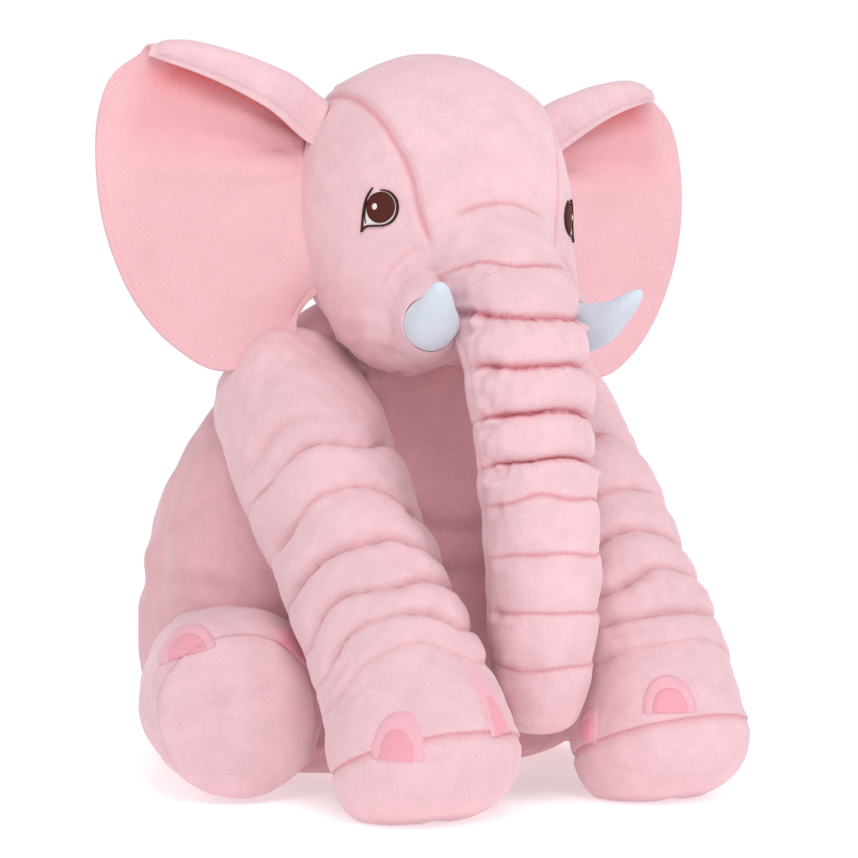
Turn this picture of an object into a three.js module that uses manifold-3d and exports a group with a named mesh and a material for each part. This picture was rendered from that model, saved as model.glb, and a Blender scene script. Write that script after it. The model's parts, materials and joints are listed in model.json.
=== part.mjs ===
// Seated stuffed elephant sewn from short-pile plush, in millimetres, +Z up, facing -Y.
// Every soft part is a sewn cover with its own filling inside; the parts that can be
// moved by hand (head, ears, trunk, legs, tail) are separate bodies with rounded roots.
import * as THREE from 'three';
import Module from 'manifold-3d';
import { mergeVertices } from 'three/addons/utils/BufferGeometryUtils.js';

const wasm = await Module();
wasm.setup();

// ---------------------------------------------------------------- driving sizes
const SEATED_HEIGHT = 600;
const BODY_HALF_WIDTH = 208;
const BODY_HALF_DEPTH = 160;
const HEAD_HALF_WIDTH = 118;
const HEAD_HALF_HEIGHT = 129;
const HEAD_HALF_DEPTH = 115;
const EAR_REACH = 162;
const EAR_SWEEP_DEG = 15;
const TRUNK_HALF_WIDTH = 43;
const TUSK_RADIUS = 18;
const TUSK_LENGTH = 96;
const TUSK_SPLAY_DEG = 21;
const FRONT_LEG_RADIUS = 61;
const FRONT_LEG_SPREAD = 112;
const HIND_LEG_RADIUS = 70;
const HIND_LEG_SPLAY_DEG = 17;
const HIND_LIFT_DEG = 6;
const FRONT_LIFT_DEG = 25;
const EYE_WIDTH = 34;
const IRIS_RADIUS = 12.5;
const NAIL_WIDTH = 46;
const TAIL_LENGTH = 70;
const TAIL_RADIUS = 10;

// ---------------------------------------------------------------- cloth and clearances
const CLOTH = 3;
const GAP = 0.4;
const SEAM_GAP = 0.5;
const PATCH_CLOTH = 1.2;
const EAR_WADDING = 6;
const SWING_GAP = 1.6;
const SHOULDER_GAP = 2.2;

// ---------------------------------------------------------------- derived places
const HEAD_CENTRE_Z = SEATED_HEIGHT - 5 - HEAD_HALF_HEIGHT;
const BODY_CENTRE_Y = 98;
const EAR_ROOT_X = HEAD_HALF_WIDTH + 7;
const NOD_PIVOT = [0, 20, HEAD_CENTRE_Z - HEAD_HALF_HEIGHT + 43];
const TRUNK_PIVOT = [0, -HEAD_HALF_DEPTH + 21, HEAD_CENTRE_Z - 0.45 * HEAD_HALF_HEIGHT];
const BODY_TOP_Z = HEAD_CENTRE_Z - HEAD_HALF_HEIGHT + 36;
const SHOULDER_PIVOT = [FRONT_LEG_SPREAD, 18, BODY_TOP_Z - 73];
const HIP_PIVOT = [170, 50, HIND_LEG_RADIUS + 4];
const FILL_DEPTH = CLOTH + GAP;
const LOOSE_FILL_DEPTH = FILL_DEPTH + 4;

// ---------------------------------------------------------------- colours
const PINK = [0xe8c2ca, 0.95];
const LINING = [0xefb4b8, 0.9];
const NAIL_PINK = [0xf2adbd, 0.9];
const TUSK_WHITE = [0xd7dce8, 0.85];
const STUFFING = [0xf4f2ee, 1.0];
const EYE_WHITE = [0xf6f4f2, 0.7];
const EYE_BROWN = [0x6f2b22, 0.6];
const LASH_BROWN = [0x4a2420, 0.8];

// ---------------------------------------------------------------- small helpers
const rad = (deg) => (deg * Math.PI) / 180;

function power(value, exponent) {
  return Math.sign(value) * Math.abs(value) ** (2 / exponent);
}

// Smooth curve through rows of numbers, read at t from 0 to 1.
function along(rows, t) {
  const last = rows.length - 1;
  const place = Math.min(Math.max(t, 0), 1) * last;
  const i = Math.min(Math.floor(place), last - 1);
  const f = place - i;
  const row = (k) => rows[Math.min(Math.max(k, 0), last)];
  return rows[i].map((_, c) => {
    const a = row(i - 1)[c];
    const b = row(i)[c];
    const d = row(i + 1)[c];
    const e = row(i + 2)[c];
    const square = (2 * a - 5 * b + 4 * d - e) * f * f;
    const cube = (-a + 3 * b - 3 * d + e) * f * f * f;
    return 0.5 * (2 * b + (d - a) * f + square + cube);
  });
}

// Skin of a soft tube. Each row is centre x, y, z, half width, half depth,
// tilt of the section in degrees and squareness of the section.
function tubeSkin(rows, place = new THREE.Matrix4()) {
  const skin = (u, v) => {
    const [x, y, z, a, b, tilt, square] = along(rows, u);
    const turn = 2 * Math.PI * v;
    const across = a * power(Math.cos(turn), square);
    const deep = b * power(Math.sin(turn), square);
    const point = new THREE.Vector3(
      x + across,
      y + deep * Math.cos(rad(tilt)),
      z + deep * Math.sin(rad(tilt)),
    );
    return point.applyMatrix4(place);
  };
  skin.core = (u) => {
    const [x, y, z] = along(rows, u);
    return new THREE.Vector3(x, y, z).applyMatrix4(place);
  };
  return skin;
}

// Point of a skin moved out (or in, when negative) along the skin's own normal.
function lifted(skin, u, v, lift) {
  const step = 0.004;
  const point = skin(u, v);
  const alongU = skin(u + step, v).sub(skin(u - step, v));
  const alongV = skin(u, v + step).sub(skin(u, v - step));
  const normal = alongU.cross(alongV).normalize();
  if (normal.dot(point.clone().sub(skin.core(u, v))) < 0) {
    normal.negate();
  }
  return point.addScaledVector(normal, lift);
}

function solidFrom(points, faces) {
  const geometry = new THREE.BufferGeometry();
  const flat = points.flatMap((p) => [p.x, p.y, p.z]);
  geometry.setAttribute('position', new THREE.Float32BufferAttribute(flat, 3));
  geometry.setIndex(faces.flat());
  return facingOut(mergeVertices(geometry, 1e-4));
}

function facingOut(geometry) {
  const place = geometry.attributes.position;
  const index = geometry.index.array;
  const a = new THREE.Vector3();
  const b = new THREE.Vector3();
  const c = new THREE.Vector3();
  let volume = 0;
  for (let i = 0; i < index.length; i += 3) {
    a.fromBufferAttribute(place, index[i]);
    b.fromBufferAttribute(place, index[i + 1]);
    c.fromBufferAttribute(place, index[i + 2]);
    volume += a.dot(b.cross(c));
  }
  if (volume < 0) {
    for (let i = 0; i < index.length; i += 3) {
      [index[i], index[i + 1]] = [index[i + 1], index[i]];
    }
  }
  return geometry;
}

// One cut panel of cloth lying on a skin between two lifts.
// The across limits may change along the panel.
function panel(skin, { u, v, rows, columns, low, high }) {
  const points = [];
  const faces = [];
  const number = (side, i, j) => side * (rows + 1) * (columns + 1) + i * (columns + 1) + j;
  for (const lift of [high, low]) {
    for (let i = 0; i <= rows; i += 1) {
      const place = u[0] + ((u[1] - u[0]) * i) / rows;
      const [from, to] = typeof v === 'function' ? v(place) : v;
      for (let j = 0; j <= columns; j += 1) {
        points.push(lifted(skin, place, from + ((to - from) * j) / columns, lift));
      }
    }
  }
  const quad = (a, b, c, d) => faces.push([a, b, c], [a, c, d]);
  for (let i = 0; i < rows; i += 1) {
    for (let j = 0; j < columns; j += 1) {
      quad(number(0, i, j), number(0, i + 1, j), number(0, i + 1, j + 1), number(0, i, j + 1));
      quad(number(1, i, j), number(1, i, j + 1), number(1, i + 1, j + 1), number(1, i + 1, j));
    }
  }
  for (let i = 0; i < rows; i += 1) {
    quad(number(0, i, 0), number(1, i, 0), number(1, i + 1, 0), number(0, i + 1, 0));
    quad(number(0, i, columns), number(0, i + 1, columns), number(1, i + 1, columns),
      number(1, i, columns));
  }
  for (let j = 0; j < columns; j += 1) {
    quad(number(0, 0, j), number(0, 0, j + 1), number(1, 0, j + 1), number(1, 0, j));
    quad(number(0, rows, j), number(1, rows, j), number(1, rows, j + 1),
      number(0, rows, j + 1));
  }
  return solidFrom(points, faces);
}

// Solid body of filling (or a cutting shape) bounded by a lifted skin.
function plug(skin, { u, rows, columns, lift }) {
  const points = [];
  const faces = [];
  for (let i = 0; i <= rows; i += 1) {
    const place = u[0] + ((u[1] - u[0]) * i) / rows;
    for (let j = 0; j < columns; j += 1) {
      points.push(lifted(skin, place, j / columns, lift));
    }
  }
  const middle = (i) => {
    const sum = new THREE.Vector3();
    for (let j = 0; j < columns; j += 1) {
      sum.add(points[i * columns + j]);
    }
    return sum.divideScalar(columns);
  };
  const ends = [points.push(middle(0)) - 1, points.push(middle(rows)) - 1];
  for (let j = 0; j < columns; j += 1) {
    const next = (j + 1) % columns;
    for (let i = 0; i < rows; i += 1) {
      const a = i * columns + j;
      const b = i * columns + next;
      faces.push([a, a + columns, b + columns], [a, b + columns, b]);
    }
    faces.push([ends[0], j, next]);
    faces.push([ends[1], rows * columns + next, rows * columns + j]);
  }
  return solidFrom(points, faces);
}

// Small flat patch sewn on a skin; reach gives its outline in millimetres by angle.
function badge(skin, { at, reach, low, high, rings, spokes }) {
  const step = 0.002;
  const [u, v] = at;
  const perU = skin(u + step, v).distanceTo(skin(u - step, v)) / (2 * step);
  const perV = skin(u, v + step).distanceTo(skin(u, v - step)) / (2 * step);
  const points = [];
  const faces = [];
  const spot = (share, angle, lift) => {
    const [du, dv] = reach(angle);
    return lifted(skin, u + (share * du) / perU, v + (share * dv) / perV, lift);
  };
  for (const lift of [high, low]) {
    points.push(spot(0, 0, lift));
    for (let i = 1; i <= rings; i += 1) {
      for (let j = 0; j < spokes; j += 1) {
        points.push(spot(i / rings, (2 * Math.PI * j) / spokes, lift));
      }
    }
  }
  const half = 1 + rings * spokes;
  for (let j = 0; j < spokes; j += 1) {
    const next = (j + 1) % spokes;
    for (const [base, flip] of [[0, false], [half, true]]) {
      const put = (a, b, c) => faces.push(flip ? [a, c, b] : [a, b, c]);
      put(base, base + 1 + j, base + 1 + next);
      for (let i = 0; i < rings - 1; i += 1) {
        const a = base + 1 + i * spokes;
        put(a + j, a + spokes + j, a + spokes + next);
        put(a + j, a + spokes + next, a + next);
      }
    }
    const rim = 1 + (rings - 1) * spokes;
    faces.push([rim + j, half + rim + j, half + rim + next]);
    faces.push([rim + j, half + rim + next, rim + next]);
  }
  return solidFrom(points, faces);
}

function toSolid(geometry) {
  const clean = geometry.clone();
  clean.deleteAttribute('normal');
  clean.deleteAttribute('uv');
  const merged = mergeVertices(clean, 1e-4);
  const mesh = new wasm.Mesh({
    numProp: 3,
    vertProperties: Float32Array.from(merged.attributes.position.array),
    triVerts: Uint32Array.from(merged.index.array),
  });
  return new wasm.Manifold(mesh);
}

// Cut tools out of a geometry; keep only the largest remaining piece.
function carve(geometry, tools) {
  let solid = toSolid(geometry);
  for (const tool of tools) {
    solid = solid.subtract(toSolid(tool));
  }
  return fromSolid(solid);
}

function fromSolid(solid) {
  const pieces = solid.decompose();
  pieces.sort((a, b) => b.volume() - a.volume());
  const mesh = pieces[0].simplify(0.02).getMesh();
  const geometry = new THREE.BufferGeometry();
  const flat = Array.from(mesh.vertProperties);
  geometry.setAttribute('position', new THREE.Float32BufferAttribute(flat, 3));
  geometry.setIndex(Array.from(mesh.triVerts));
  return geometry;
}

function ball(centre, radius, detail = 16) {
  const geometry = new THREE.SphereGeometry(radius, detail, detail / 2);
  geometry.rotateZ(Math.PI / 2);
  geometry.translate(...centre);
  return geometry;
}

function turned(geometry, pivot, degrees) {
  const copy = geometry.clone();
  copy.translate(-pivot[0], -pivot[1], -pivot[2]);
  copy.rotateX(rad(degrees));
  copy.translate(...pivot);
  return copy;
}

// A hind leg shape lifted about its hip, square to the way the leg points.
function raisedHind(geometry, degrees) {
  const splay = rad(HIND_LEG_SPLAY_DEG);
  const axis = new THREE.Vector3(-Math.cos(splay), -Math.sin(splay), 0);
  const copy = geometry.clone();
  copy.translate(-HIP_PIVOT[0], -HIP_PIVOT[1], -HIP_PIVOT[2]);
  copy.applyMatrix4(new THREE.Matrix4().makeRotationAxis(axis, rad(degrees)));
  copy.translate(...HIP_PIVOT);
  return copy;
}

function mirrored(geometry) {
  const copy = geometry.clone();
  copy.scale(-1, 1, 1);
  const index = copy.index.array;
  for (let i = 0; i < index.length; i += 3) {
    [index[i], index[i + 1]] = [index[i + 1], index[i]];
  }
  return copy;
}

function piece(name, geometry, [color, roughness]) {
  const solid = geometry.clone();
  solid.computeVertexNormals();
  const material = new THREE.MeshStandardMaterial({ color, roughness, metalness: 0 });
  const mesh = new THREE.Mesh(solid, material);
  mesh.name = name;
  return mesh;
}

function pair(name, geometry, finish) {
  return [
    piece(`left_${name}`, geometry, finish),
    piece(`right_${name}`, mirrored(geometry), finish),
  ];
}

// ---------------------------------------------------------------- torso
const WAIST_Z = 190;

function bodySkin() {
  const w = BODY_HALF_WIDTH;
  const d = BODY_HALF_DEPTH;
  const y = BODY_CENTRE_Y;
  const upper = (share) => WAIST_Z + share * (BODY_TOP_Z - WAIST_Z);
  return tubeSkin([
    [0, y, 4, 0.74 * w, 0.74 * d, 0, 2.2],
    [0, y, 16, 0.88 * w, 0.88 * d, 0, 2.2],
    [0, y + 2, 45, 0.97 * w, 0.98 * d, 0, 2.2],
    [0, y + 2, 90, w, d, 0, 2.1],
    [0, y + 2, 140, w, 0.99 * d, 0, 2.1],
    [0, y, WAIST_Z, 0.97 * w, 0.96 * d, 0, 2],
    [0, y - 4, upper(0.273), 0.91 * w, 0.89 * d, 0, 2],
    [0, y - 12, upper(0.519), 0.81 * w, 0.79 * d, 0, 2],
    [0, y - 24, upper(0.721), 0.68 * w, 0.66 * d, 0, 2],
    [0, y - 38, upper(0.874), 0.48 * w, 0.5 * d, 0, 2],
    [0, y - 48, BODY_TOP_Z, 0.3 * w, 0.34 * d, 0, 2],
  ]);
}

// Hollows left in the torso where the head and the four legs are sewn on.
function bodyHollows() {
  const head = plug(headSkin(), { u: [0.08, 0.92], rows: 8, columns: 20, lift: SWING_GAP + 3 });
  const whole = plug(frontLegSkin(), { u: [0, 1], rows: 9, columns: 12, lift: SHOULDER_GAP });
  const thigh = plug(frontLegSkin(), { u: [0.1, 0.6], rows: 5, columns: 12, lift: SHOULDER_GAP });
  const forward = [0.5, 1].map((share) => (
    turned(thigh, SHOULDER_PIVOT, -share * FRONT_LIFT_DEG)));
  const hind = plug(hindLegSkin(), { u: [0, 1], rows: 5, columns: 16, lift: SHOULDER_GAP });
  const raised = raisedHind(hind, HIND_LIFT_DEG + 2);
  const shoulder = ball(SHOULDER_PIVOT, FRONT_LEG_RADIUS + SHOULDER_GAP + 3, 12);
  const oneSide = [whole, ...forward, shoulder, hind, raised];
  return [
    head, turned(head, NOD_PIVOT, 8), turned(head, NOD_PIVOT, -8),
    ...oneSide, ...oneSide.map(mirrored),
  ];
}

function torso() {
  const skin = bodySkin();
  const hollows = bodyHollows();
  const gap = 0.0006;
  const bellyHalf = 0.085;
  const front = 0.75;
  const cloth = { u: [0, 1], rows: 9, low: -CLOTH, high: 0 };
  const belly = panel(skin, { ...cloth, v: [front - bellyHalf, front + bellyHalf], columns: 3 });
  const side = panel(skin, { ...cloth, v: [front + bellyHalf + gap, 1.25 - gap], columns: 7 });
  const filling = plug(skin, { u: [0, 1], rows: 9, columns: 18, lift: -LOOSE_FILL_DEPTH });
  return [
    piece('belly_panel', carve(belly, hollows), PINK),
    ...pair('body_panel', carve(side, hollows), PINK),
    piece('seat_panel', seatPanel(hollows), PINK),
    piece('body_filling', carve(filling, [...hollows, seatPanelTool()]), STUFFING),
  ];
}

function seatOutline(grow) {
  const radius = 0.74 * BODY_HALF_WIDTH - CLOTH - GAP + grow;
  const deep = 0.74 * BODY_HALF_DEPTH - CLOTH - GAP + grow;
  const outline = [];
  for (let i = 0; i < 28; i += 1) {
    const turn = (2 * Math.PI * i) / 28;
    outline.push(new THREE.Vector2(
      radius * power(Math.cos(turn), 2.2),
      BODY_CENTRE_Y + deep * power(Math.sin(turn), 2.2),
    ));
  }
  return new THREE.Shape(outline);
}

function seatPanelSolid(grow, thickness) {
  const settings = { depth: thickness, bevelEnabled: false, steps: 1 };
  return mergeVertices(new THREE.ExtrudeGeometry(seatOutline(grow), settings)
    .deleteAttribute('normal').deleteAttribute('uv'), 1e-4);
}

function seatPanel(hollows) {
  return carve(seatPanelSolid(0, 5), hollows);
}

function seatPanelTool() {
  return seatPanelSolid(40, 5 + GAP);
}

// ---------------------------------------------------------------- head
const HEAD_SQUARE = 2.25;

// Side outline of the head: distance from its centre by angle, front 0, top 90.
function headReach(turn) {
  const marks = [
    [HEAD_HALF_DEPTH], [HEAD_HALF_DEPTH + 3], [HEAD_HALF_HEIGHT - 4], [HEAD_HALF_HEIGHT],
    [HEAD_HALF_HEIGHT - 3], [HEAD_HALF_DEPTH + 5], [HEAD_HALF_DEPTH + 2], [HEAD_HALF_DEPTH + 2],
    [HEAD_HALF_HEIGHT - 7], [HEAD_HALF_HEIGHT - 6], [HEAD_HALF_HEIGHT - 2],
    [HEAD_HALF_DEPTH + 8], [HEAD_HALF_DEPTH],
  ];
  const share = (((turn / (2 * Math.PI)) % 1) + 1) % 1;
  return along(marks, share)[0];
}

function headSkin() {
  const skin = (u, v) => {
    const lean = Math.PI * (u - 0.5);
    const turn = 2 * Math.PI * v;
    const reach = headReach(turn) * power(Math.cos(lean), HEAD_SQUARE);
    return new THREE.Vector3(
      HEAD_HALF_WIDTH * power(Math.sin(lean), HEAD_SQUARE),
      -reach * Math.cos(turn),
      HEAD_CENTRE_Z + reach * Math.sin(turn),
    );
  };
  skin.core = (u) => new THREE.Vector3(HEAD_HALF_WIDTH * (u - 0.5), 0, HEAD_CENTRE_Z);
  return skin;
}

function headAcross(x) {
  const share = Math.abs(x / HEAD_HALF_WIDTH) ** (HEAD_SQUARE / 2);
  return 0.5 + (Math.sign(x) * Math.asin(share)) / Math.PI;
}

// Half width of the middle strip, from the front round over the crown to the chin.
function gussetHalf(v) {
  const marks = [
    [0.54], [0.64], [0.72], [0.74], [0.7], [0.62], [0.54], [0.46], [0.42], [0.42], [0.42],
    [0.44], [0.54],
  ];
  return HEAD_HALF_WIDTH * along(marks, ((v % 1) + 1) % 1)[0];
}

// The head skin with its two directions swapped, so a strip can follow the crown.
function crownwise(skin) {
  const swapped = (u, v) => skin(v, u);
  swapped.core = (u, v) => skin.core(v, u);
  return swapped;
}

function headStrip(from, to, rows) {
  const edge = (v) => {
    const outer = headAcross(gussetHalf(v) - SEAM_GAP / 2);
    return [1 - outer, outer];
  };
  const limits = { u: [from, to], v: edge, rows, columns: 3, low: -CLOTH, high: 0 };
  return panel(crownwise(headSkin()), limits);
}

function headSide() {
  const edge = (v) => [headAcross(gussetHalf(v) + SEAM_GAP / 2), 0.965];
  const limits = { u: [-0.249, 0.749], v: edge, rows: 20, columns: 3, low: -CLOTH, high: 0 };
  return panel(crownwise(headSkin()), limits);
}

// Hollows left in the head where the trunk is sewn on.
function headHollows() {
  const root = ball(TRUNK_PIVOT, TRUNK_ROOT + SWING_GAP + 2, 14);
  const neck = plug(trunkBaseSkin(), { u: [0.2, 0.7], rows: 5, columns: 12, lift: SWING_GAP });
  return [root, neck];
}

function head() {
  const hollows = headHollows();
  const filling = plug(headSkin(), {
    u: [0.08, 0.92], rows: 8, columns: 14, lift: -LOOSE_FILL_DEPTH - 2,
  });
  return [
    piece('crown_gusset', carve(headStrip(-0.099, 0.549, 13), hollows), PINK),
    piece('chin_panel', carve(headStrip(0.551, 0.899, 7), hollows), PINK),
    ...pair('head_panel', carve(headSide(), hollows), PINK),
    piece('head_filling', carve(filling, hollows), STUFFING),
    ...eyes(),
    ...tusks(),
  ];
}

// ---------------------------------------------------------------- eyes
function eyes() {
  const skin = headSkin();
  const at = [headAcross(0.7 * HEAD_HALF_WIDTH), -0.018];
  const oval = (wide, tall) => (turn) => [wide * Math.cos(turn), tall * Math.sin(turn)];
  const sewn = { rings: 1, spokes: 12 };
  const white = { at, reach: oval(EYE_WIDTH / 2, IRIS_RADIUS + 1), low: GAP, high: GAP + 0.8 };
  const iris = {
    at, reach: oval(IRIS_RADIUS, IRIS_RADIUS), low: 2 * GAP + 0.8, high: 2 * GAP + 1.6,
  };
  return [
    ...pair('eye_white', badge(skin, { ...white, ...sewn }), EYE_WHITE),
    ...pair('eye_iris', badge(skin, { ...iris, ...sewn }), EYE_BROWN),
    ...pair('eye_lash', lash(skin, at), LASH_BROWN),
  ];
}

// Curved lash line above the eye.
function lash(skin, at) {
  const step = 0.002;
  const perU = skin(at[0] + step, at[1]).distanceTo(skin(at[0] - step, at[1])) / (2 * step);
  const perV = skin(at[0], at[1] + step).distanceTo(skin(at[0], at[1] - step)) / (2 * step);
  const arc = (u, v) => {
    const turn = rad(20 + 150 * u);
    const reach = 1 + 0.14 * v;
    return skin(
      at[0] + ((EYE_WIDTH / 2 + 1.5) * reach * Math.cos(turn)) / perU,
      at[1] + ((IRIS_RADIUS + 2.5) * reach * Math.sin(turn)) / perV,
    );
  };
  arc.core = () => new THREE.Vector3(0, 0, HEAD_CENTRE_Z);
  return panel(arc, {
    u: [0, 1], v: [0, 1], rows: 6, columns: 1, low: GAP, high: GAP + PATCH_CLOTH,
  });
}

// ---------------------------------------------------------------- tusks
function tuskPlace() {
  const place = new THREE.Matrix4().makeTranslation(
    TRUNK_HALF_WIDTH + TUSK_RADIUS + 8,
    -HEAD_HALF_DEPTH + 22,
    HEAD_CENTRE_Z - 0.68 * HEAD_HALF_HEIGHT,
  );
  return place.multiply(new THREE.Matrix4().makeRotationZ(rad(TUSK_SPLAY_DEG)));
}

function tuskSkin() {
  const r = TUSK_RADIUS;
  const l = TUSK_LENGTH;
  return tubeSkin([
    [0, 12, -1, r, r, 90, 2],
    [0, -0.1 * l, -3, r, r, 90, 2],
    [0, -0.4 * l, -4, 0.92 * r, 0.9 * r, 90, 2],
    [0, -0.7 * l, 3, 0.7 * r, 0.68 * r, 90, 2],
    [0, -0.92 * l, 12, 0.44 * r, 0.42 * r, 90, 2],
    [0, -l, 16, 0.12 * r, 0.12 * r, 90, 2],
  ], tuskPlace());
}

function cuffSkin() {
  const r = TUSK_RADIUS + CLOTH + 2 * GAP;
  return tubeSkin([
    [0, 14, 0, r + 6, r + 8, 90, 2],
    [0, 0, -1, r + 4, r + 6, 90, 2],
    [0, -12, -3, r + 1.5, r + 2, 90, 2],
    [0, -19, -3, r - 1, r - 0.5, 90, 2],
  ], tuskPlace());
}

function tusks() {
  const around = { columns: 10 };
  const slit = [0.004, 0.996];
  const headTool = plug(headSkin(), { u: [0.05, 0.95], rows: 9, columns: 16, lift: 4.5 });
  const cover = panel(tuskSkin(), {
    u: [0, 1], v: slit, rows: 5, ...around, low: -PATCH_CLOTH, high: 0,
  });
  const filling = plug(tuskSkin(), {
    u: [0, 0.93], rows: 5, ...around, lift: -PATCH_CLOTH - 2 * GAP,
  });
  const cuff = panel(cuffSkin(), {
    u: [0, 1], v: slit, rows: 3, ...around, low: -CLOTH, high: 0,
  });
  return [
    ...pair('tusk_cover', carve(cover, [headTool]), TUSK_WHITE),
    ...pair('tusk_filling', carve(filling, [headTool]), STUFFING),
    ...pair('tusk_cuff', carve(cuff, [headTool]), PINK),
  ];
}

// ---------------------------------------------------------------- trunk
const TRUNK_ROOT = TRUNK_HALF_WIDTH + 5;

function trunkBaseSkin() {
  const w = TRUNK_HALF_WIDTH;
  const [, y, z] = TRUNK_PIVOT;
  return tubeSkin([
    [0, y + 0.79 * w, z + 0.58 * w, 0.5 * w, 0.5 * w, -55, 2],
    [0, y + 0.465 * w, z + 0.35 * w, 0.88 * w, 0.9 * w, -55, 2],
    [0, y, z, 1.02 * w, 1.05 * w, -55, 2],
    [0, y - 26, z - 20, 1.04 * w, 1.04 * w, -48, 2.1],
    [0, y - 50, z - 48, 1.02 * w, 1.0 * w, -32, 2.1],
    [0, y - 66, z - 82, w, 0.96 * w, -18, 2.1],
    [0, y - 76, z - 116, w, 0.95 * w, -12, 2.1],
    [0, y - 80, z - 136, 0.93 * w, 0.88 * w, -9, 2.1],
    [0, y - 81.6, z - 145, 0.74 * w, 0.7 * w, -9, 2.1],
  ]);
}

const TRUNK_BEND = [0, TRUNK_PIVOT[1] - 82.6, TRUNK_PIVOT[2] - 150];

function trunkMiddleSkin() {
  const w = TRUNK_HALF_WIDTH;
  const [, y, z] = TRUNK_BEND;
  return tubeSkin([
    [0, y - 1, z - 5, 0.74 * w, 0.7 * w, -9, 2.1],
    [0, y - 2.5, z - 14, 0.93 * w, 0.88 * w, -9, 2.1],
    [0, y - 5.5, z - 34, w, 0.94 * w, -6, 2.1],
    [0, y - 9, z - 64, 0.98 * w, 0.92 * w, -3, 2.1],
    [0, y - 10.5, z - 92, 0.93 * w, 0.88 * w, -1, 2.1],
    [0, y - 10.5, z - 108, 0.86 * w, 0.8 * w, 0, 2.1],
    [0, y - 10.5, z - 117, 0.68 * w, 0.62 * w, 0, 2.1],
  ]);
}

const TRUNK_CURL = [0, TRUNK_BEND[1] - 10.5, TRUNK_BEND[2] - 122];

function trunkTipSkin() {
  const w = TRUNK_HALF_WIDTH;
  const [, y, z] = TRUNK_CURL;
  return tubeSkin([
    [0, y, z - 5, 0.68 * w, 0.62 * w, 0, 2.1],
    [0, y, z - 14, 0.85 * w, 0.79 * w, 2, 2.1],
    [0, y + 1, z - 32, 0.86 * w, 0.82 * w, 8, 2.1],
    [0, y + 4, z - 52, 0.83 * w, 0.78 * w, 18, 2.1],
    [0, y + 11, z - 68, 0.7 * w, 0.62 * w, 30, 2.1],
    [0, y + 16, z - 77, 0.42 * w, 0.36 * w, 36, 2.1],
  ]);
}

function trunkPart(name, skin, rows) {
  const slit = [0.2515, 1.2485];
  const shared = { u: [0, 1], rows };
  const cover = panel(skin, { ...shared, v: slit, columns: 12, low: -CLOTH, high: 0 });
  const filling = plug(skin, { ...shared, columns: 12, lift: -FILL_DEPTH });
  return [
    piece(`${name}_cover`, cover, PINK),
    piece(`${name}_filling`, filling, STUFFING),
  ];
}

function trunk() {
  return [
    ...trunkPart('trunk_base', trunkBaseSkin(), 8),
    ...trunkPart('trunk_middle', trunkMiddleSkin(), 6),
    ...trunkPart('trunk_tip', trunkTipSkin(), 5),
  ];
}

// ---------------------------------------------------------------- ears
// Outer edge of the left ear: reach from the root seam and height, bottom to tip.
function earEdge(t) {
  const r = EAR_REACH;
  const top = SEATED_HEIGHT;
  return along([
    [0.14 * r, top - 246], [0.36 * r, top - 266], [0.58 * r, top - 250],
    [0.75 * r, top - 224], [0.87 * r, top - 195], [0.94 * r, top - 163],
    [0.985 * r, top - 131], [r, top - 101], [0.98 * r, top - 66],
    [0.92 * r, top - 32], [0.8 * r, top - 11],
  ], t);
}

const EAR_ROLL = 9;
const EAR_FLAP = 18;

function earSkin() {
  const sweep = rad(EAR_SWEEP_DEG);
  const place = (reach, height, forward) => new THREE.Vector3(
    EAR_ROOT_X + reach * Math.cos(sweep) - forward * Math.sin(sweep),
    reach * Math.sin(sweep) - forward * Math.cos(sweep),
    height,
  );
  const rootInset = (t) => -8 * (2 * t - 1) ** 2;
  const flat = (s, t) => {
    const [reach, height] = earEdge(t);
    const root = SEATED_HEIGHT - 196 + 122 * t;
    const dish = 10 * Math.sin(Math.PI * s) * (1 - t);
    return [rootInset(t) + (reach - rootInset(t)) * s, root + (height - root) * s, dish];
  };
  const skin = (u, v) => {
    if (v <= 1) {
      return place(...flat(u, v));
    }
    const [reach, height, dish] = flat(u, 1);
    const walk = (v - 1) * 2 * (Math.PI * EAR_ROLL + EAR_FLAP);
    const curl = Math.min(walk / EAR_ROLL, Math.PI);
    const beyond = Math.max(walk - Math.PI * EAR_ROLL, 0);
    const up = EAR_ROLL * Math.sin(curl) - beyond;
    const forward = EAR_ROLL * (1 - Math.cos(curl));
    const lean = rad(22);
    return place(reach - up * Math.sin(lean), height + up * Math.cos(lean), dish + forward);
  };
  skin.core = (u, v) => {
    if (v <= 1) {
      return skin(u, v).add(new THREE.Vector3(0, 30, 0));
    }
    const step = 0.01;
    const [reach, height] = flat(u, 1);
    const walk = (v - 1) * 2 * (Math.PI * EAR_ROLL + EAR_FLAP);
    const curl = Math.min(walk / EAR_ROLL, Math.PI);
    const back = EAR_ROLL + 14;
    const rise = (EAR_ROLL + back) * Math.sin(curl) - step;
    const away = EAR_ROLL - (EAR_ROLL + back) * Math.cos(curl);
    return place(reach - rise * Math.sin(rad(22)), height + rise * Math.cos(rad(22)), away);
  };
  return skin;
}

function ear() {
  const skin = earSkin();
  const half = EAR_WADDING / 2;
  const limits = { u: [0.01, 0.985], v: [0.004, 1.5], rows: 4, columns: 12 };
  const low = -half;
  return [
    ...pair('ear_wadding', panel(skin, { ...limits, low, high: half }), STUFFING),
    ...pair('ear_lining', panel(skin, {
      ...limits, low: half + GAP, high: half + GAP + PATCH_CLOTH,
    }), LINING),
    ...pair('ear_back', panel(skin, {
      ...limits, low: low - GAP - PATCH_CLOTH, high: low - GAP,
    }), PINK),
  ];
}

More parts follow.
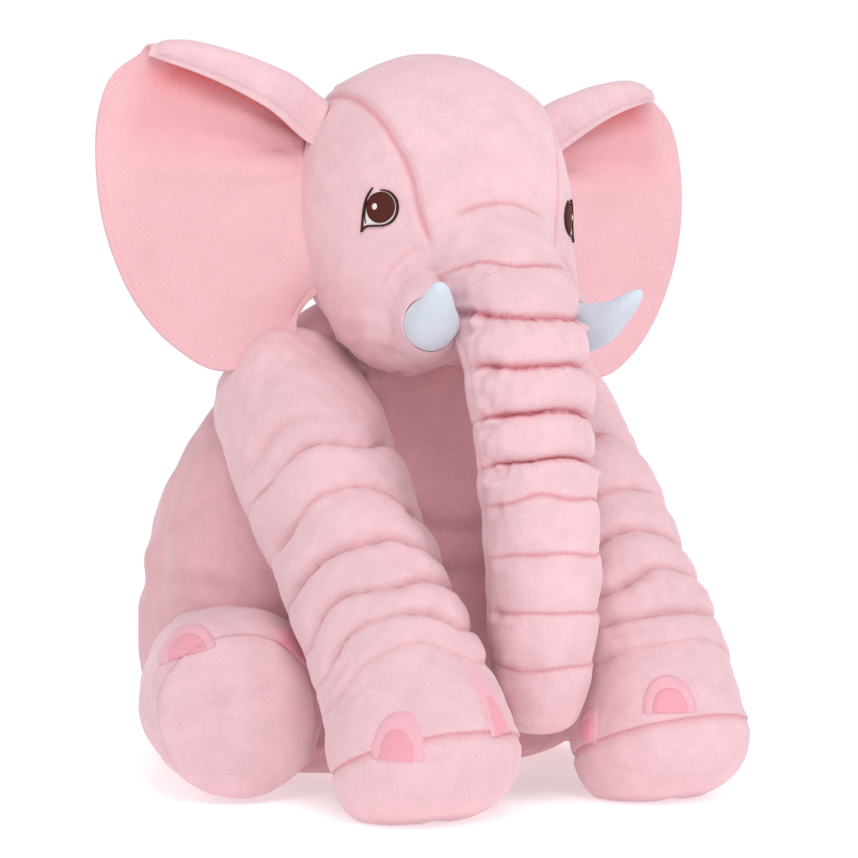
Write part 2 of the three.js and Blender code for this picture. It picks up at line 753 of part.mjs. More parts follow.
// ---------------------------------------------------------------- front legs
function frontLegSkin() {
  const [x, y, z] = SHOULDER_PIVOT;
  const r = FRONT_LEG_RADIUS;
  const up = (share) => share * z;
  return tubeSkin([
    [x, y + 34, z + 37, 0.5 * r, 0.5 * r, -42, 2],
    [x, y + 23, z + 25, 0.82 * r, 0.82 * r, -42, 2],
    [x, y, z, r, r, -42, 2],
    [x, y - 44, up(0.8333), r, r, -42, 2],
    [x, y - 93, up(0.6667), r, r, -40, 2],
    [x, y - 142, up(0.5067), r, r, -37, 2],
    [x - 1, y - 182, up(0.3533), 1.04 * r, 1.05 * r, -30, 2],
    [x - 2, y - 208, up(0.2), 1.09 * r, 1.14 * r, -20, 2.1],
    [x - 2, y - 216, up(0.0933), 1.08 * r, 1.16 * r, -12, 2.1],
    [x - 2, y - 221, up(0.03), 0.98 * r, 1.06 * r, -4, 2.1],
    [x - 2, y - 222, up(0.0133), 0.93 * r, 1.0 * r, 0, 2.1],
  ]);
}

function frontLeg() {
  const skin = frontLegSkin();
  const [x, y] = [SHOULDER_PIVOT[0] - 2, SHOULDER_PIVOT[1] - 222];
  const slit = [0.2515, 1.2485];
  const base = plug(skin, { u: [0, 1], rows: 9, columns: 12, lift: -FILL_DEPTH });
  const wide = 0.93 * FRONT_LEG_RADIUS - FILL_DEPTH;
  const deep = FRONT_LEG_RADIUS - FILL_DEPTH;
  return [
    ...pair('front_leg_cover', panel(skin, {
      u: [0, 1], v: slit, rows: 9, columns: 12, low: -CLOTH, high: 0,
    }), PINK),
    ...pair('front_leg_sole', lens([x, y, 0], wide, deep, CLOTH), PINK),
    ...pair('front_leg_filling', base, STUFFING),
    ...frontNails(skin),
  ];
}

// Flat oval sole of cloth lying on the floor.
function lens([x, y, z], wide, deep, thickness) {
  const geometry = new THREE.CylinderGeometry(1, 1, thickness, 20, 1);
  geometry.rotateX(Math.PI / 2);
  geometry.scale(wide, deep, 1);
  geometry.translate(x, y, z + thickness / 2);
  geometry.deleteAttribute('normal');
  geometry.deleteAttribute('uv');
  return mergeVertices(geometry, 1e-4);
}

// Half-moon toenail sewn on a foot, its straight edge towards the sole.
function nail(skin, at) {
  const moon = (turn) => {
    const tall = Math.sin(turn) > 0 ? 0.16 : 0.84;
    return [0.9 * NAIL_WIDTH * tall * Math.sin(turn), (NAIL_WIDTH / 2) * Math.cos(turn)];
  };
  return badge(skin, {
    at, reach: moon, low: 2 * GAP, high: 2 * GAP + PATCH_CLOTH, rings: 2, spokes: 12,
  });
}

// The front feet are turned a little, so their toenails don't mirror each other.
function frontNails(skin) {
  return [
    piece('left_front_foot_inner_nail', nail(skin, [0.86, 0.556]), NAIL_PINK),
    piece('left_front_foot_outer_nail', nail(skin, [0.83, 0.697]), NAIL_PINK),
    piece('right_front_foot_inner_nail', mirrored(nail(skin, [0.83, 0.704])), NAIL_PINK),
    piece('right_front_foot_outer_nail', mirrored(nail(skin, [0.85, 0.882])), NAIL_PINK),
  ];
}

// ---------------------------------------------------------------- hind legs
function hindLegSkin() {
  const [x, y, z] = HIP_PIVOT;
  const r = HIND_LEG_RADIUS;
  const place = new THREE.Matrix4().makeTranslation(x, y, z);
  place.multiply(new THREE.Matrix4().makeRotationZ(rad(HIND_LEG_SPLAY_DEG)));
  return tubeSkin([
    [0, 56, 0, 0.5 * r, 0.5 * r, 90, 2],
    [0, 38, 0, 0.82 * r, 0.82 * r, 90, 2],
    [0, 6, 0, 0.99 * r, 0.99 * r, 90, 2],
    [0, -44, 0, r, r, 90, 2.05],
    [0, -94, 0, r, r, 90, 2.1],
    [0, -124, 0, 0.99 * r, r, 90, 2.1],
    [0, -134, 0, 0.93 * r, 0.94 * r, 90, 2.1],
  ], place);
}

function hindSoleSkin() {
  const [x, y, z] = HIP_PIVOT;
  const r = HIND_LEG_RADIUS - CLOTH - 2 * GAP;
  const place = new THREE.Matrix4().makeTranslation(x, y, z);
  place.multiply(new THREE.Matrix4().makeRotationZ(rad(HIND_LEG_SPLAY_DEG)));
  return tubeSkin([
    [0, -132, 0, 0.93 * r, 0.94 * r, 90, 2.1],
    [0, -135, 0, 0.93 * r, 0.94 * r, 90, 2.1],
    [0, -139, 0, 0.8 * r, 0.81 * r, 90, 2.1],
  ], place);
}

function hindLeg() {
  const skin = hindLegSkin();
  const slit = [0.2515, 1.2485];
  const floor = floorTool();
  const cover = panel(skin, {
    u: [0, 1], v: slit, rows: 5, columns: 16, low: -CLOTH, high: 0,
  });
  const filling = plug(skin, { u: [0, 1], rows: 5, columns: 16, lift: -FILL_DEPTH });
  const sole = plug(hindSoleSkin(), { u: [0, 1], rows: 2, columns: 16, lift: 0 });
  const soleTool = plug(hindSoleSkin(), { u: [0, 1], rows: 2, columns: 16, lift: GAP });
  return [
    ...pair('hind_leg_cover', carve(cover, [floor]), PINK),
    ...pair('hind_leg_sole', sole, PINK),
    ...pair('hind_leg_filling', carve(filling, [soleTool]), STUFFING),
    ...pair('hind_foot_inner_nail', nail(skin, [0.86, 0.31]), NAIL_PINK),
    ...pair('hind_foot_outer_nail', nail(skin, [0.86, 0.16]), NAIL_PINK),
  ];
}

function floorTool() {
  const slab = new THREE.BoxGeometry(900, 900, 100);
  slab.translate(0, 0, -50);
  return slab;
}

// ---------------------------------------------------------------- tail
function tail() {
  const y = BODY_CENTRE_Y + BODY_HALF_DEPTH;
  const skin = tubeSkin([
    [0, y + 10, 150, 0.6 * TAIL_RADIUS, 0.6 * TAIL_RADIUS, 10, 2],
    [0, y + 12, 144, TAIL_RADIUS, TAIL_RADIUS, 10, 2],
    [0, y + 17, 150 - 0.5 * TAIL_LENGTH, 0.9 * TAIL_RADIUS, 0.9 * TAIL_RADIUS, 8, 2],
    [0, y + 19, 156 - TAIL_LENGTH, 1.1 * TAIL_RADIUS, 1.1 * TAIL_RADIUS, 0, 2],
    [0, y + 19, 150 - TAIL_LENGTH, 0.5 * TAIL_RADIUS, 0.5 * TAIL_RADIUS, 0, 2],
  ]);
  return piece('tail', plug(skin, { u: [0, 1], rows: 5, columns: 8, lift: 0 }), PINK);
}

// ---------------------------------------------------------------- assembly
function elephant() {
  const group = new THREE.Group();
  group.name = 'stuffed_elephant';
  group.add(...torso(), ...head(), ...trunk(), ...ear(), ...frontLeg(), ...hindLeg(), tail());
  const box = new THREE.Box3().setFromObject(group, true);
  group.position.set(0, -(box.min.y + box.max.y) / 2, -box.min.z);
  group.updateMatrixWorld(true);
  return group;
}

export default elephant();
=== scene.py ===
"""Seated plush elephant: sewn covers, folded ears, stitched trunk and embroidered eyes."""
import json
import math

import bmesh
import bpy
import numpy as np
import openvdb
from bpy.props import FloatProperty, FloatVectorProperty, IntProperty, PointerProperty
from mathutils import Matrix, Vector
from mathutils.bvhtree import BVHTree
from mathutils.kdtree import KDTree


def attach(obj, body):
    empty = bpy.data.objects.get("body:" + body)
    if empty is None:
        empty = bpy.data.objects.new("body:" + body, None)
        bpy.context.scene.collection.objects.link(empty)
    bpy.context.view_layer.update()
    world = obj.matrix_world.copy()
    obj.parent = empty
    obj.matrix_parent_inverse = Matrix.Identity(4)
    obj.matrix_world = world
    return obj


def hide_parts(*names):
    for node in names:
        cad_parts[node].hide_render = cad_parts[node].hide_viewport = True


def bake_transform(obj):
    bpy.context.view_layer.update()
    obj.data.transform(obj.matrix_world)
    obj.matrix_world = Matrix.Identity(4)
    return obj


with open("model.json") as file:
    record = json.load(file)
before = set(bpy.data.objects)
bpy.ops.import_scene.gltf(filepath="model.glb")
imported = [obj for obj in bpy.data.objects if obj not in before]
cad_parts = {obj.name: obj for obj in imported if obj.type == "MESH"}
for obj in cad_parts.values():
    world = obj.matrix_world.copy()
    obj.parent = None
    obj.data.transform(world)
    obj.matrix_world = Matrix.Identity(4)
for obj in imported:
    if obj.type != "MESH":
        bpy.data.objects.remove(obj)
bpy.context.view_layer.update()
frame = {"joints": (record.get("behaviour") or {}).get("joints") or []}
JOINTS = {joint["name"]: joint for joint in frame["joints"]}

bl_info = {
    "name": "Plush Elephant",
    "version": (1, 0, 0),
    "blender": (4, 5, 0),
    "location": "3D View > Sidebar > Plush",
    "description": "Sews a seated stuffed elephant around its frame",
    "category": "Object",
}

# The design frame has its origin under the ear seams; the CAD frame is shifted from it.
EAR_LINE_Y = JOINTS["left_ear_flap"]["pos_m"][1]
HEAD_CENTRE = np.array([0.0, 0.0, JOINTS["left_ear_flap"]["pos_m"][2]])
TAU = 2 * math.pi
THREAD_LIFT = 0.0001
THREAD_SPREAD = 1.05
SIDES = ((1, "left"), (-1, "right"))


# ------------------------------------------------------------------ number helpers
def place(points):
    """Points of the design frame moved into the CAD frame."""
    points = np.array(points, float)
    points[..., 1] += EAR_LINE_Y
    return points


def spline(rows, t):
    """Smooth curve through rows, read at every t from 0 to 1."""
    rows = np.asarray(rows, float)
    last = len(rows) - 1
    spot = np.clip(np.asarray(t, float), 0, 1) * last
    i = np.minimum(spot.astype(int), last - 1)
    f = (spot - i)[..., None]
    a = rows[np.clip(i - 1, 0, last)]
    b = rows[i]
    c = rows[np.clip(i + 1, 0, last)]
    d = rows[np.clip(i + 2, 0, last)]
    square = (2 * a - 5 * b + 4 * c - d) * f ** 2
    return 0.5 * (2 * b + (c - a) * f + square + (3 * b - a - 3 * c + d) * f ** 3)


def soft_power(value, square):
    return np.sign(value) * np.abs(value) ** (2 / square)


def bell(distance, width):
    return np.exp(-((distance / width) ** 2))


def ease(low, high, value):
    t = np.clip((value - low) / (high - low), 0, 1)
    return t * t * (3 - 2 * t)


def waves(points, size, seed, count=18):
    """Smooth random field of about unit height and the given grain size."""
    draw = np.random.default_rng(seed)
    ways = draw.normal(size=(count, 3))
    ways /= np.linalg.norm(ways, axis=1)[:, None]
    rates = TAU / size * draw.uniform(0.6, 1.4, count)
    phases = draw.uniform(0, TAU, count)
    flat = np.asarray(points).reshape(-1, 3)
    total = np.sin(flat @ (ways * rates[:, None]).T + phases).sum(1)
    return (total / math.sqrt(count / 2)).reshape(np.shape(points)[:-1])


def unit(vectors):
    return vectors / np.maximum(np.linalg.norm(vectors, axis=-1, keepdims=True), 1e-9)


def grid_normals(grid, closed):
    """Outward normals of a grid whose second direction runs round the piece."""
    down = np.gradient(grid, axis=0)
    if closed:
        across = np.roll(grid, -1, 1) - np.roll(grid, 1, 1)
    else:
        across = np.gradient(grid, axis=1)
    return unit(np.cross(down, across))


# ------------------------------------------------------------------ mesh helpers
def new_object(name, points, faces, material):
    mesh = bpy.data.meshes.new(name)
    mesh.from_pydata([tuple(p) for p in points], [], [tuple(f) for f in faces])
    mesh.polygons.foreach_set("use_smooth", np.ones(len(mesh.polygons), bool))
    mesh.update()
    obj = bpy.data.objects.new(name, mesh)
    bpy.context.scene.collection.objects.link(obj)
    if material:
        mesh.materials.append(material)
    return obj


def coordinates(obj):
    co = np.zeros(len(obj.data.vertices) * 3)
    obj.data.vertices.foreach_get("co", co)
    return co.reshape(-1, 3)


def set_coordinates(obj, points):
    obj.data.vertices.foreach_set("co", np.asarray(points, float).ravel())
    obj.data.update()


def normals_of(obj):
    flat = np.zeros(len(obj.data.vertices) * 3)
    obj.data.vertex_normals.foreach_get("vector", flat)
    return flat.reshape(-1, 3)


def turn_outward(obj):
    """Reverses every face if the closed mesh holds a negative volume."""
    mesh = obj.data
    mesh.calc_loop_triangles()
    corner = np.zeros(len(mesh.loop_triangles) * 3, int)
    mesh.loop_triangles.foreach_get("vertices", corner)
    tri = coordinates(obj)[corner.reshape(-1, 3)]
    if np.einsum("ij,ij->i", tri[:, 0], np.cross(tri[:, 1], tri[:, 2])).sum() < 0:
        mesh.flip_normals()
    return obj


def wrapped(name, grid, material, poles=(True, True)):
    """Closed skin from rings; each open end is gathered to one point."""
    rows, columns = grid.shape[:2]
    points = list(grid.reshape(-1, 3))
    faces = []
    for i in range(rows - 1):
        for j in range(columns):
            k = (j + 1) % columns
            a = i * columns
            faces.append((a + j, a + k, a + columns + k, a + columns + j))
    for end, row in ((0, 0), (1, rows - 1)):
        if not poles[end]:
            continue
        middle = len(points)
        points.append(grid[row].mean(0))
        for j in range(columns):
            k = (j + 1) % columns
            pair = (row * columns + j, row * columns + k)
            faces.append((middle, *(pair if end else pair[::-1])))
    return turn_outward(new_object(name, points, faces, material))


def tube_grid(stations, down, around, start=0.0):
    """Rings of a soft tube, with the ring centres and the angle of each column.

    A station is x, y, z, half width, half depth, tilt in degrees and squareness.
    """
    rows = spline(stations, np.linspace(0, 1, down))
    turn = TAU * (start + np.arange(around) / around)
    across = rows[:, 3:4] * soft_power(np.cos(turn), rows[:, 6:7])
    deep = rows[:, 4:5] * soft_power(np.sin(turn), rows[:, 6:7])
    tilt = np.radians(rows[:, 5:6])
    grid = np.stack([
        rows[:, 0:1] + across,
        rows[:, 1:2] + deep * np.cos(tilt),
        rows[:, 2:3] + deep * np.sin(tilt),
    ], -1)
    return grid, rows[:, :3], turn


def travelled(centres):
    """Distance along a line of points."""
    steps = np.linalg.norm(np.diff(centres, axis=0), axis=1)
    return np.concatenate([[0], np.cumsum(steps)])


def outward(grid, centres):
    normal = grid_normals(grid, True)
    facing = np.einsum("ijk,ijk->ij", normal, grid - centres[:, None, :])
    return normal if np.median(facing) > 0 else -normal


def quilting(distance, lines, depths, crown, reach=0.009):
    """Height of cloth held down by sewn lines: sharp at a line, crowned between."""
    lines = np.asarray(lines)
    depths = np.asarray(depths)
    order = np.searchsorted(lines, distance)
    last = len(lines) - 1
    low, high = np.clip(order - 1, 0, last), np.clip(order, 0, last)
    share = (distance - lines[low]) / np.maximum(lines[high] - lines[low], 1e-6)
    share = np.clip(share, 0, 1)
    depth = depths[low] * (1 - share) + depths[high] * share
    pillow = np.maximum(1 - np.abs(2 * share - 1) ** 3, 0) ** 0.75
    puff = depth * ((1 + crown) * pillow - 1)
    before = -depths[0] * np.exp(-np.abs(distance - lines[0]) / reach)
    after = -depths[-1] * np.exp(-np.abs(distance - lines[-1]) / reach)
    puff = np.where(distance <= lines[0], before, puff)
    return np.where(distance >= lines[-1], after, puff)


def crease_shade_at(distance, lines, pulls, width=0.0026):
    """Strength of the painted crease shade at the sewn lines, by distance along a piece."""
    total = np.zeros(np.shape(distance))
    for line, pull in zip(lines, pulls):
        total = np.maximum(total, pull * bell(distance - line, width))
    return total


def paint_crease_shade(obj, strength):
    """Stores how much painted crease shade each point of the cloth gets."""
    values = np.zeros(len(obj.data.vertices), np.float32)
    values[:strength.size] = np.clip(strength, 0, 1).ravel()
    made = obj.data.attributes.new("fold_depth", "FLOAT", "POINT")
    made.data.foreach_set("value", values)


# ------------------------------------------------------------------ stuffing
def stuffed(grid, held, cap, shrink=0.002, cell=0.006, frames=20):
    """Rings of a cover after its stuffing has pressed it out from inside.

    held gives, for points, how firmly sewn lines or the floor hold the cloth there.
    """
    centres = grid.mean(1)
    slack = grid - outward(grid, centres) * shrink
    cover = wrapped("cover", slack, None)
    remesh = cover.modifiers.new("Cells", "REMESH")
    remesh.mode = "VOXEL"
    remesh.voxel_size = cell
    cover.data = evaluated_copy(cover)
    cover.modifiers.clear()
    rest = coordinates(cover)
    group = cover.vertex_groups.new(name="held")
    for i, weight in enumerate(np.clip(held(rest), 0, 1)):
        if weight > 0.02:
            group.add([i], float(weight), "REPLACE")
    cloth_modifier = cover.modifiers.new("Stuffing", "CLOTH")
    settings = cloth_modifier.settings
    settings.vertex_group_mass = "held"
    settings.use_pressure = True
    settings.uniform_pressure_force = 4
    settings.effector_weights.gravity = 0
    settings.bending_stiffness = 0.3
    cloth_modifier.point_cache.frame_start = 1
    cloth_modifier.point_cache.frame_end = frames
    for moment in range(1, frames + 1):
        bpy.context.scene.frame_set(moment)
    pressed = evaluated_copy(cover)
    end = np.zeros(len(pressed.vertices) * 3)
    pressed.vertices.foreach_get("co", end)
    push = end.reshape(-1, 3) - rest
    length = np.linalg.norm(push, axis=1, keepdims=True)
    push *= np.minimum(1, cap / np.maximum(length, 1e-9))
    finder = KDTree(len(rest))
    for i, point in enumerate(rest):
        finder.insert(point, i)
    finder.balance()
    moved_by = np.zeros_like(slack)
    for index in np.ndindex(slack.shape[:2]):
        near = finder.find_n(slack[index], 6)
        weight = np.array([1 / (found[2] + 0.001) ** 2 for found in near])
        moved_by[index] = weight @ push[[found[1] for found in near]] / weight.sum()
    bpy.context.scene.frame_set(1)
    bpy.data.objects.remove(cover)
    return slack + moved_by


def evaluated_copy(obj):
    """The object's mesh with its modifiers applied."""
    bpy.context.view_layer.update()
    graph = bpy.context.evaluated_depsgraph_get()
    return bpy.data.meshes.new_from_object(obj.evaluated_get(graph))


# ------------------------------------------------------------------ node helpers
def node(tree, kind, **settings):
    made = tree.nodes.new(kind)
    for key, value in settings.items():
        setattr(made, key, value)
    return made


def noise_of(tree, where, scale, detail, roughness=0.6):
    made = node(tree, "ShaderNodeTexNoise")
    made.inputs["Scale"].default_value = scale
    made.inputs["Detail"].default_value = detail
    made.inputs["Roughness"].default_value = roughness
    tree.links.new(where, made.inputs["Vector"])
    return made.outputs["Fac"]


def ramp_of(tree, factor, stops):
    made = node(tree, "ShaderNodeValToRGB")
    made.color_ramp.elements[0].position = stops[0][0]
    made.color_ramp.elements[0].color = (*stops[0][1], 1)
    made.color_ramp.elements[1].position = stops[-1][0]
    made.color_ramp.elements[1].color = (*stops[-1][1], 1)
    for spot, colour in stops[1:-1]:
        made.color_ramp.elements.new(spot).color = (*colour, 1)
    tree.links.new(factor, made.inputs["Fac"])
    return made.outputs["Color"]


def shade(colour, factor):
    return tuple(min(1.0, c * factor) for c in colour)


def pile_cloth(name, colour, nap=1.0, grain=1.0, deep=None, sheen=0.45):
    """Short-pile plush: brushed patches, fine pile and a soft sheen."""
    material = bpy.data.materials.new(name)
    material.use_nodes = True
    tree = material.node_tree
    shader = tree.nodes["Principled BSDF"]
    where = node(tree, "ShaderNodeTexCoord").outputs["Object"]
    patches = noise_of(tree, where, 14.0, 3.0)
    brushed = noise_of(tree, where, 60.0, 4.0, 0.7)
    pile = noise_of(tree, where, 700.0 * grain, 2.0)
    base = ramp_of(tree, patches, [
        (0.3, shade(colour, 1 - 0.05 * nap)), (0.7, shade(colour, 1 + 0.04 * nap)),
    ])
    streak = ramp_of(tree, brushed, [(0.35, (0.93, 0.92, 0.92)), (0.68, (1.0, 1.0, 1.0))])
    speck = ramp_of(tree, pile, [(0.3, (0.9, 0.88, 0.88)), (0.62, (1.0, 1.0, 1.0))])
    first = node(tree, "ShaderNodeMix", data_type="RGBA", blend_type="MULTIPLY")
    second = node(tree, "ShaderNodeMix", data_type="RGBA", blend_type="MULTIPLY")
    first.inputs["Factor"].default_value = nap
    second.inputs["Factor"].default_value = 0.8
    tree.links.new(base, first.inputs[6])
    tree.links.new(streak, first.inputs[7])
    tree.links.new(first.outputs[2], second.inputs[6])
    tree.links.new(speck, second.inputs[7])
    result = second.outputs[2]
    # deep is the colour of painted shade, multiplied in by each point's painted crease shade
    # value.
    if deep:
        fold = node(tree, "ShaderNodeAttribute", attribute_name="fold_depth")
        third = node(tree, "ShaderNodeMix", data_type="RGBA", blend_type="MULTIPLY")
        tree.links.new(fold.outputs["Fac"], third.inputs["Factor"])
        tree.links.new(result, third.inputs[6])
        third.inputs[7].default_value = (*deep, 1)
        result = third.outputs[2]
    tree.links.new(result, shader.inputs["Base Color"])
    height = node(tree, "ShaderNodeMath", operation="ADD")
    tree.links.new(brushed, height.inputs[0])
    tree.links.new(pile, height.inputs[1])
    bump = node(tree, "ShaderNodeBump")
    bump.inputs["Strength"].default_value = 0.28
    bump.inputs["Distance"].default_value = 0.0012
    tree.links.new(height.outputs[0], bump.inputs["Height"])
    tree.links.new(bump.outputs["Normal"], shader.inputs["Normal"])
    shader.inputs["Roughness"].default_value = 0.92
    shader.inputs["Specular IOR Level"].default_value = 0.12
    shader.inputs["Sheen Weight"].default_value = sheen
    shader.inputs["Sheen Roughness"].default_value = 0.38
    shader.inputs["Sheen Tint"].default_value = (1.0, 0.9, 0.93, 1)
    return material


def satin_thread(name, colour, angle=0.0):
    """Embroidery: close parallel threads with a slight gloss."""
    material = bpy.data.materials.new(name)
    material.use_nodes = True
    tree = material.node_tree
    shader = tree.nodes["Principled BSDF"]
    where = node(tree, "ShaderNodeTexCoord").outputs["Object"]
    mapping = node(tree, "ShaderNodeMapping")
    mapping.inputs["Rotation"].default_value = (0.3, angle, 0.5)
    tree.links.new(where, mapping.inputs["Vector"])
    threads = node(tree, "ShaderNodeTexWave", bands_direction="Z")
    threads.inputs["Scale"].default_value = 420.0
    threads.inputs["Distortion"].default_value = 1.2
    tree.links.new(mapping.outputs["Vector"], threads.inputs["Vector"])
    colours = ramp_of(tree, threads.outputs["Fac"], [
        (0.0, shade(colour, 0.72)), (1.0, shade(colour, 1.12)),
    ])
    tree.links.new(colours, shader.inputs["Base Color"])
    bump = node(tree, "ShaderNodeBump")
    bump.inputs["Strength"].default_value = 0.35
    bump.inputs["Distance"].default_value = 0.0004
    tree.links.new(threads.outputs["Fac"], bump.inputs["Height"])
    tree.links.new(bump.outputs["Normal"], shader.inputs["Normal"])
    shader.inputs["Roughness"].default_value = 0.55
    shader.inputs["Specular IOR Level"].default_value = 0.2
    return material


def stitch_tree():
    """Geometry Nodes that lay short threads along every edge path of a mesh."""
    tree = bpy.data.node_groups.new("Thread Stitches", "GeometryNodeTree")
    side = tree.interface
    side.new_socket("Geometry", in_out="INPUT", socket_type="NodeSocketGeometry")
    for name, default in (("Pitch", 0.004), ("Length", 0.0026), ("Thickness", 0.0006)):
        made = side.new_socket(name, in_out="INPUT", socket_type="NodeSocketFloat")
        made.default_value = default
    side.new_socket("Thread", in_out="INPUT", socket_type="NodeSocketMaterial")
    side.new_socket("Geometry", in_out="OUTPUT", socket_type="NodeSocketGeometry")
    inputs = node(tree, "NodeGroupInput")
    outputs = node(tree, "NodeGroupOutput")
    path = node(tree, "GeometryNodeMeshToCurve")
    points = node(tree, "GeometryNodeCurveToPoints", mode="LENGTH")
    ball = node(tree, "GeometryNodeMeshIcoSphere")
    ball.inputs["Radius"].default_value = 0.5
    ball.inputs["Subdivisions"].default_value = 1
    size = node(tree, "ShaderNodeCombineXYZ")
    copies = node(tree, "GeometryNodeInstanceOnPoints")
    real = node(tree, "GeometryNodeRealizeInstances")
    finish = node(tree, "GeometryNodeSetMaterial")
    link = tree.links.new
    link(inputs.outputs["Geometry"], path.inputs["Mesh"])
    link(path.outputs["Curve"], points.inputs["Curve"])
    link(inputs.outputs["Pitch"], points.inputs["Length"])
    link(points.outputs["Points"], copies.inputs["Points"])
    link(points.outputs["Rotation"], copies.inputs["Rotation"])
    link(ball.outputs["Mesh"], copies.inputs["Instance"])
    link(inputs.outputs["Thickness"], size.inputs[0])
    link(inputs.outputs["Thickness"], size.inputs[1])
    link(inputs.outputs["Length"], size.inputs[2])
    link(size.outputs[0], copies.inputs["Scale"])
    link(copies.outputs["Instances"], real.inputs["Geometry"])
    link(real.outputs["Geometry"], finish.inputs["Geometry"])
    link(inputs.outputs["Thread"], finish.inputs["Material"])
    link(finish.outputs["Geometry"], outputs.inputs["Geometry"])
    return tree


def stitches(name, paths, thread, pitch=0.004, length=0.0026, thickness=0.0006):
    """Threads along the given lines of points, as one plain mesh."""
    points = []
    edges = []
    for path in paths:
        base = len(points)
        points += [tuple(p) for p in path]
        edges += [(base + i, base + i + 1) for i in range(len(path) - 1)]
    mesh = bpy.data.meshes.new(name + "_path")
    mesh.from_pydata(points, edges, [])
    carrier = bpy.data.objects.new(name + "_path", mesh)
    bpy.context.scene.collection.objects.link(carrier)
    tree = bpy.data.node_groups.get("Thread Stitches") or stitch_tree()
    sewing = carrier.modifiers.new("Sewing", "NODES")
    sewing.node_group = tree
    values = {"Pitch": pitch, "Length": length, "Thickness": thickness, "Thread": thread}
    for item in tree.interface.items_tree:
        if item.item_type == "SOCKET" and item.in_out == "INPUT" and item.name in values:
            sewing[item.identifier] = values[item.name]
    result = evaluated_copy(carrier)
    bpy.data.objects.remove(carrier)
    result.name = name
    sewn = bpy.data.objects.new(name, result)
    bpy.context.scene.collection.objects.link(sewn)
    return sewn


def snap(tree, points, lift):
    """Points moved to the nearest place on a skin and lifted off it."""
    found = []
    for point in points:
        spot, normal, _, _ = tree.find_nearest(Vector(point))
        found.append(spot + normal * lift)
    return found


def skin_tree(obj):
    return BVHTree.FromPolygons(
        [v.co.copy() for v in obj.data.vertices],
        [tuple(p.vertices) for p in obj.data.polygons],
    )


def declare(obj, nodes=(), body=None, blend=None):
    """Hides the CAD parts a finished piece replaces and parents it to its body's empty; with a
    blend it is only baked in place and parented to nothing.
    """
    if nodes:
        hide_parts(*nodes)
    if blend:
        start, end = place(np.array(blend[2:]))
        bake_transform(obj)
    else:
        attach(obj, body)
    return obj


# ------------------------------------------------------------------ settings
class PlushCloth(bpy.types.PropertyGroup):
    """Colours of the cloth."""

    body: FloatVectorProperty(
        name="Plush", description="Pile cloth of the body", subtype="COLOR",
        default=(0.80, 0.53, 0.58), min=0, max=1)
    lining: FloatVectorProperty(
        name="Ear Lining", description="Smoother cloth inside the ears", subtype="COLOR",
        default=(0.80, 0.475, 0.515), min=0, max=1)
    nail: FloatVectorProperty(
        name="Toenail", description="Pile cloth of the toenails", subtype="COLOR",
        default=(0.82, 0.37, 0.45), min=0, max=1)
    tusk: FloatVectorProperty(
        name="Tusk", description="Brushed knit of the tusks", subtype="COLOR",
        default=(0.63, 0.70, 0.80), min=0, max=1)
    iris: FloatVectorProperty(
        name="Iris", description="Thread of the iris", subtype="COLOR",
        default=(0.085, 0.014, 0.008), min=0, max=1)
    outline: FloatVectorProperty(
        name="Eye Outline", description="Thread of the eye outline", subtype="COLOR",
        default=(0.060, 0.013, 0.008), min=0, max=1)


class PlushSizes(bpy.types.PropertyGroup):
    """Sizes of the sewn details."""

    trunk_groove: FloatProperty(
        name="Trunk Groove", description="How deep the trunk's sewn lines pull in",
        default=0.0088, min=0.0, max=0.015, unit="LENGTH")
    leg_groove: FloatProperty(
        name="Leg Groove", description="How deep the legs' sewn lines pull in",
        default=0.0105, min=0.0, max=0.018, unit="LENGTH")
    seam_groove: FloatProperty(
        name="Seam Groove", description="How deep a panel seam sinks",
        default=0.0030, min=0.0, max=0.006, unit="LENGTH")
    stitch_pitch: FloatProperty(
        name="Stitch Pitch", description="Distance from one stitch to the next",
        default=0.0042, min=0.002, max=0.01, unit="LENGTH")
    voxel: FloatProperty(
        name="Head Grain", description="Size of the cells the head skin is made from",
        default=0.0034, min=0.0015, max=0.006, unit="LENGTH")
    around: IntProperty(
        name="Columns", description="Faces round a leg or a trunk length",
        default=120, min=24, max=240)


def cloth():
    return bpy.context.scene.plush_cloth


def sizes():
    return bpy.context.scene.plush_sizes


MATERIALS = {}


def fabric(kind):
    """The finished fabric of one kind, made when first asked for."""
    if kind in MATERIALS:
        return MATERIALS[kind]
    c = cloth()
    makers = {
        # The deep colours are painted shade: the plush's in creases and seams, the lining's under
        # the ear's folded top.
        "plush": lambda: pile_cloth("Pink Plush", tuple(c.body), deep=(0.80, 0.30, 0.34)),
        "lining": lambda: pile_cloth(
            "Ear Lining", tuple(c.lining), nap=0.5, grain=1.2, deep=(0.88, 0.30, 0.29),
            sheen=0.35),
        "nail": lambda: pile_cloth("Toenail Cloth", tuple(c.nail), nap=0.5),
        "nail_rim": lambda: pile_cloth("Toenail Edge", (0.83, 0.45, 0.525), nap=0.4),
        "tusk": lambda: pile_cloth("Tusk Knit", tuple(c.tusk), nap=0.4, grain=0.8, sheen=0.3),
        "iris": lambda: satin_thread("Iris Thread", tuple(c.iris), 0.2),
        "outline": lambda: satin_thread("Outline Thread", tuple(c.outline), 0.9),
        "white": lambda: satin_thread("White Thread", (0.84, 0.78, 0.77), -0.4),
        "thread": lambda: satin_thread("Pink Thread", (0.80, 0.42, 0.47)),
    }
    MATERIALS[kind] = makers[kind]()
    return MATERIALS[kind]


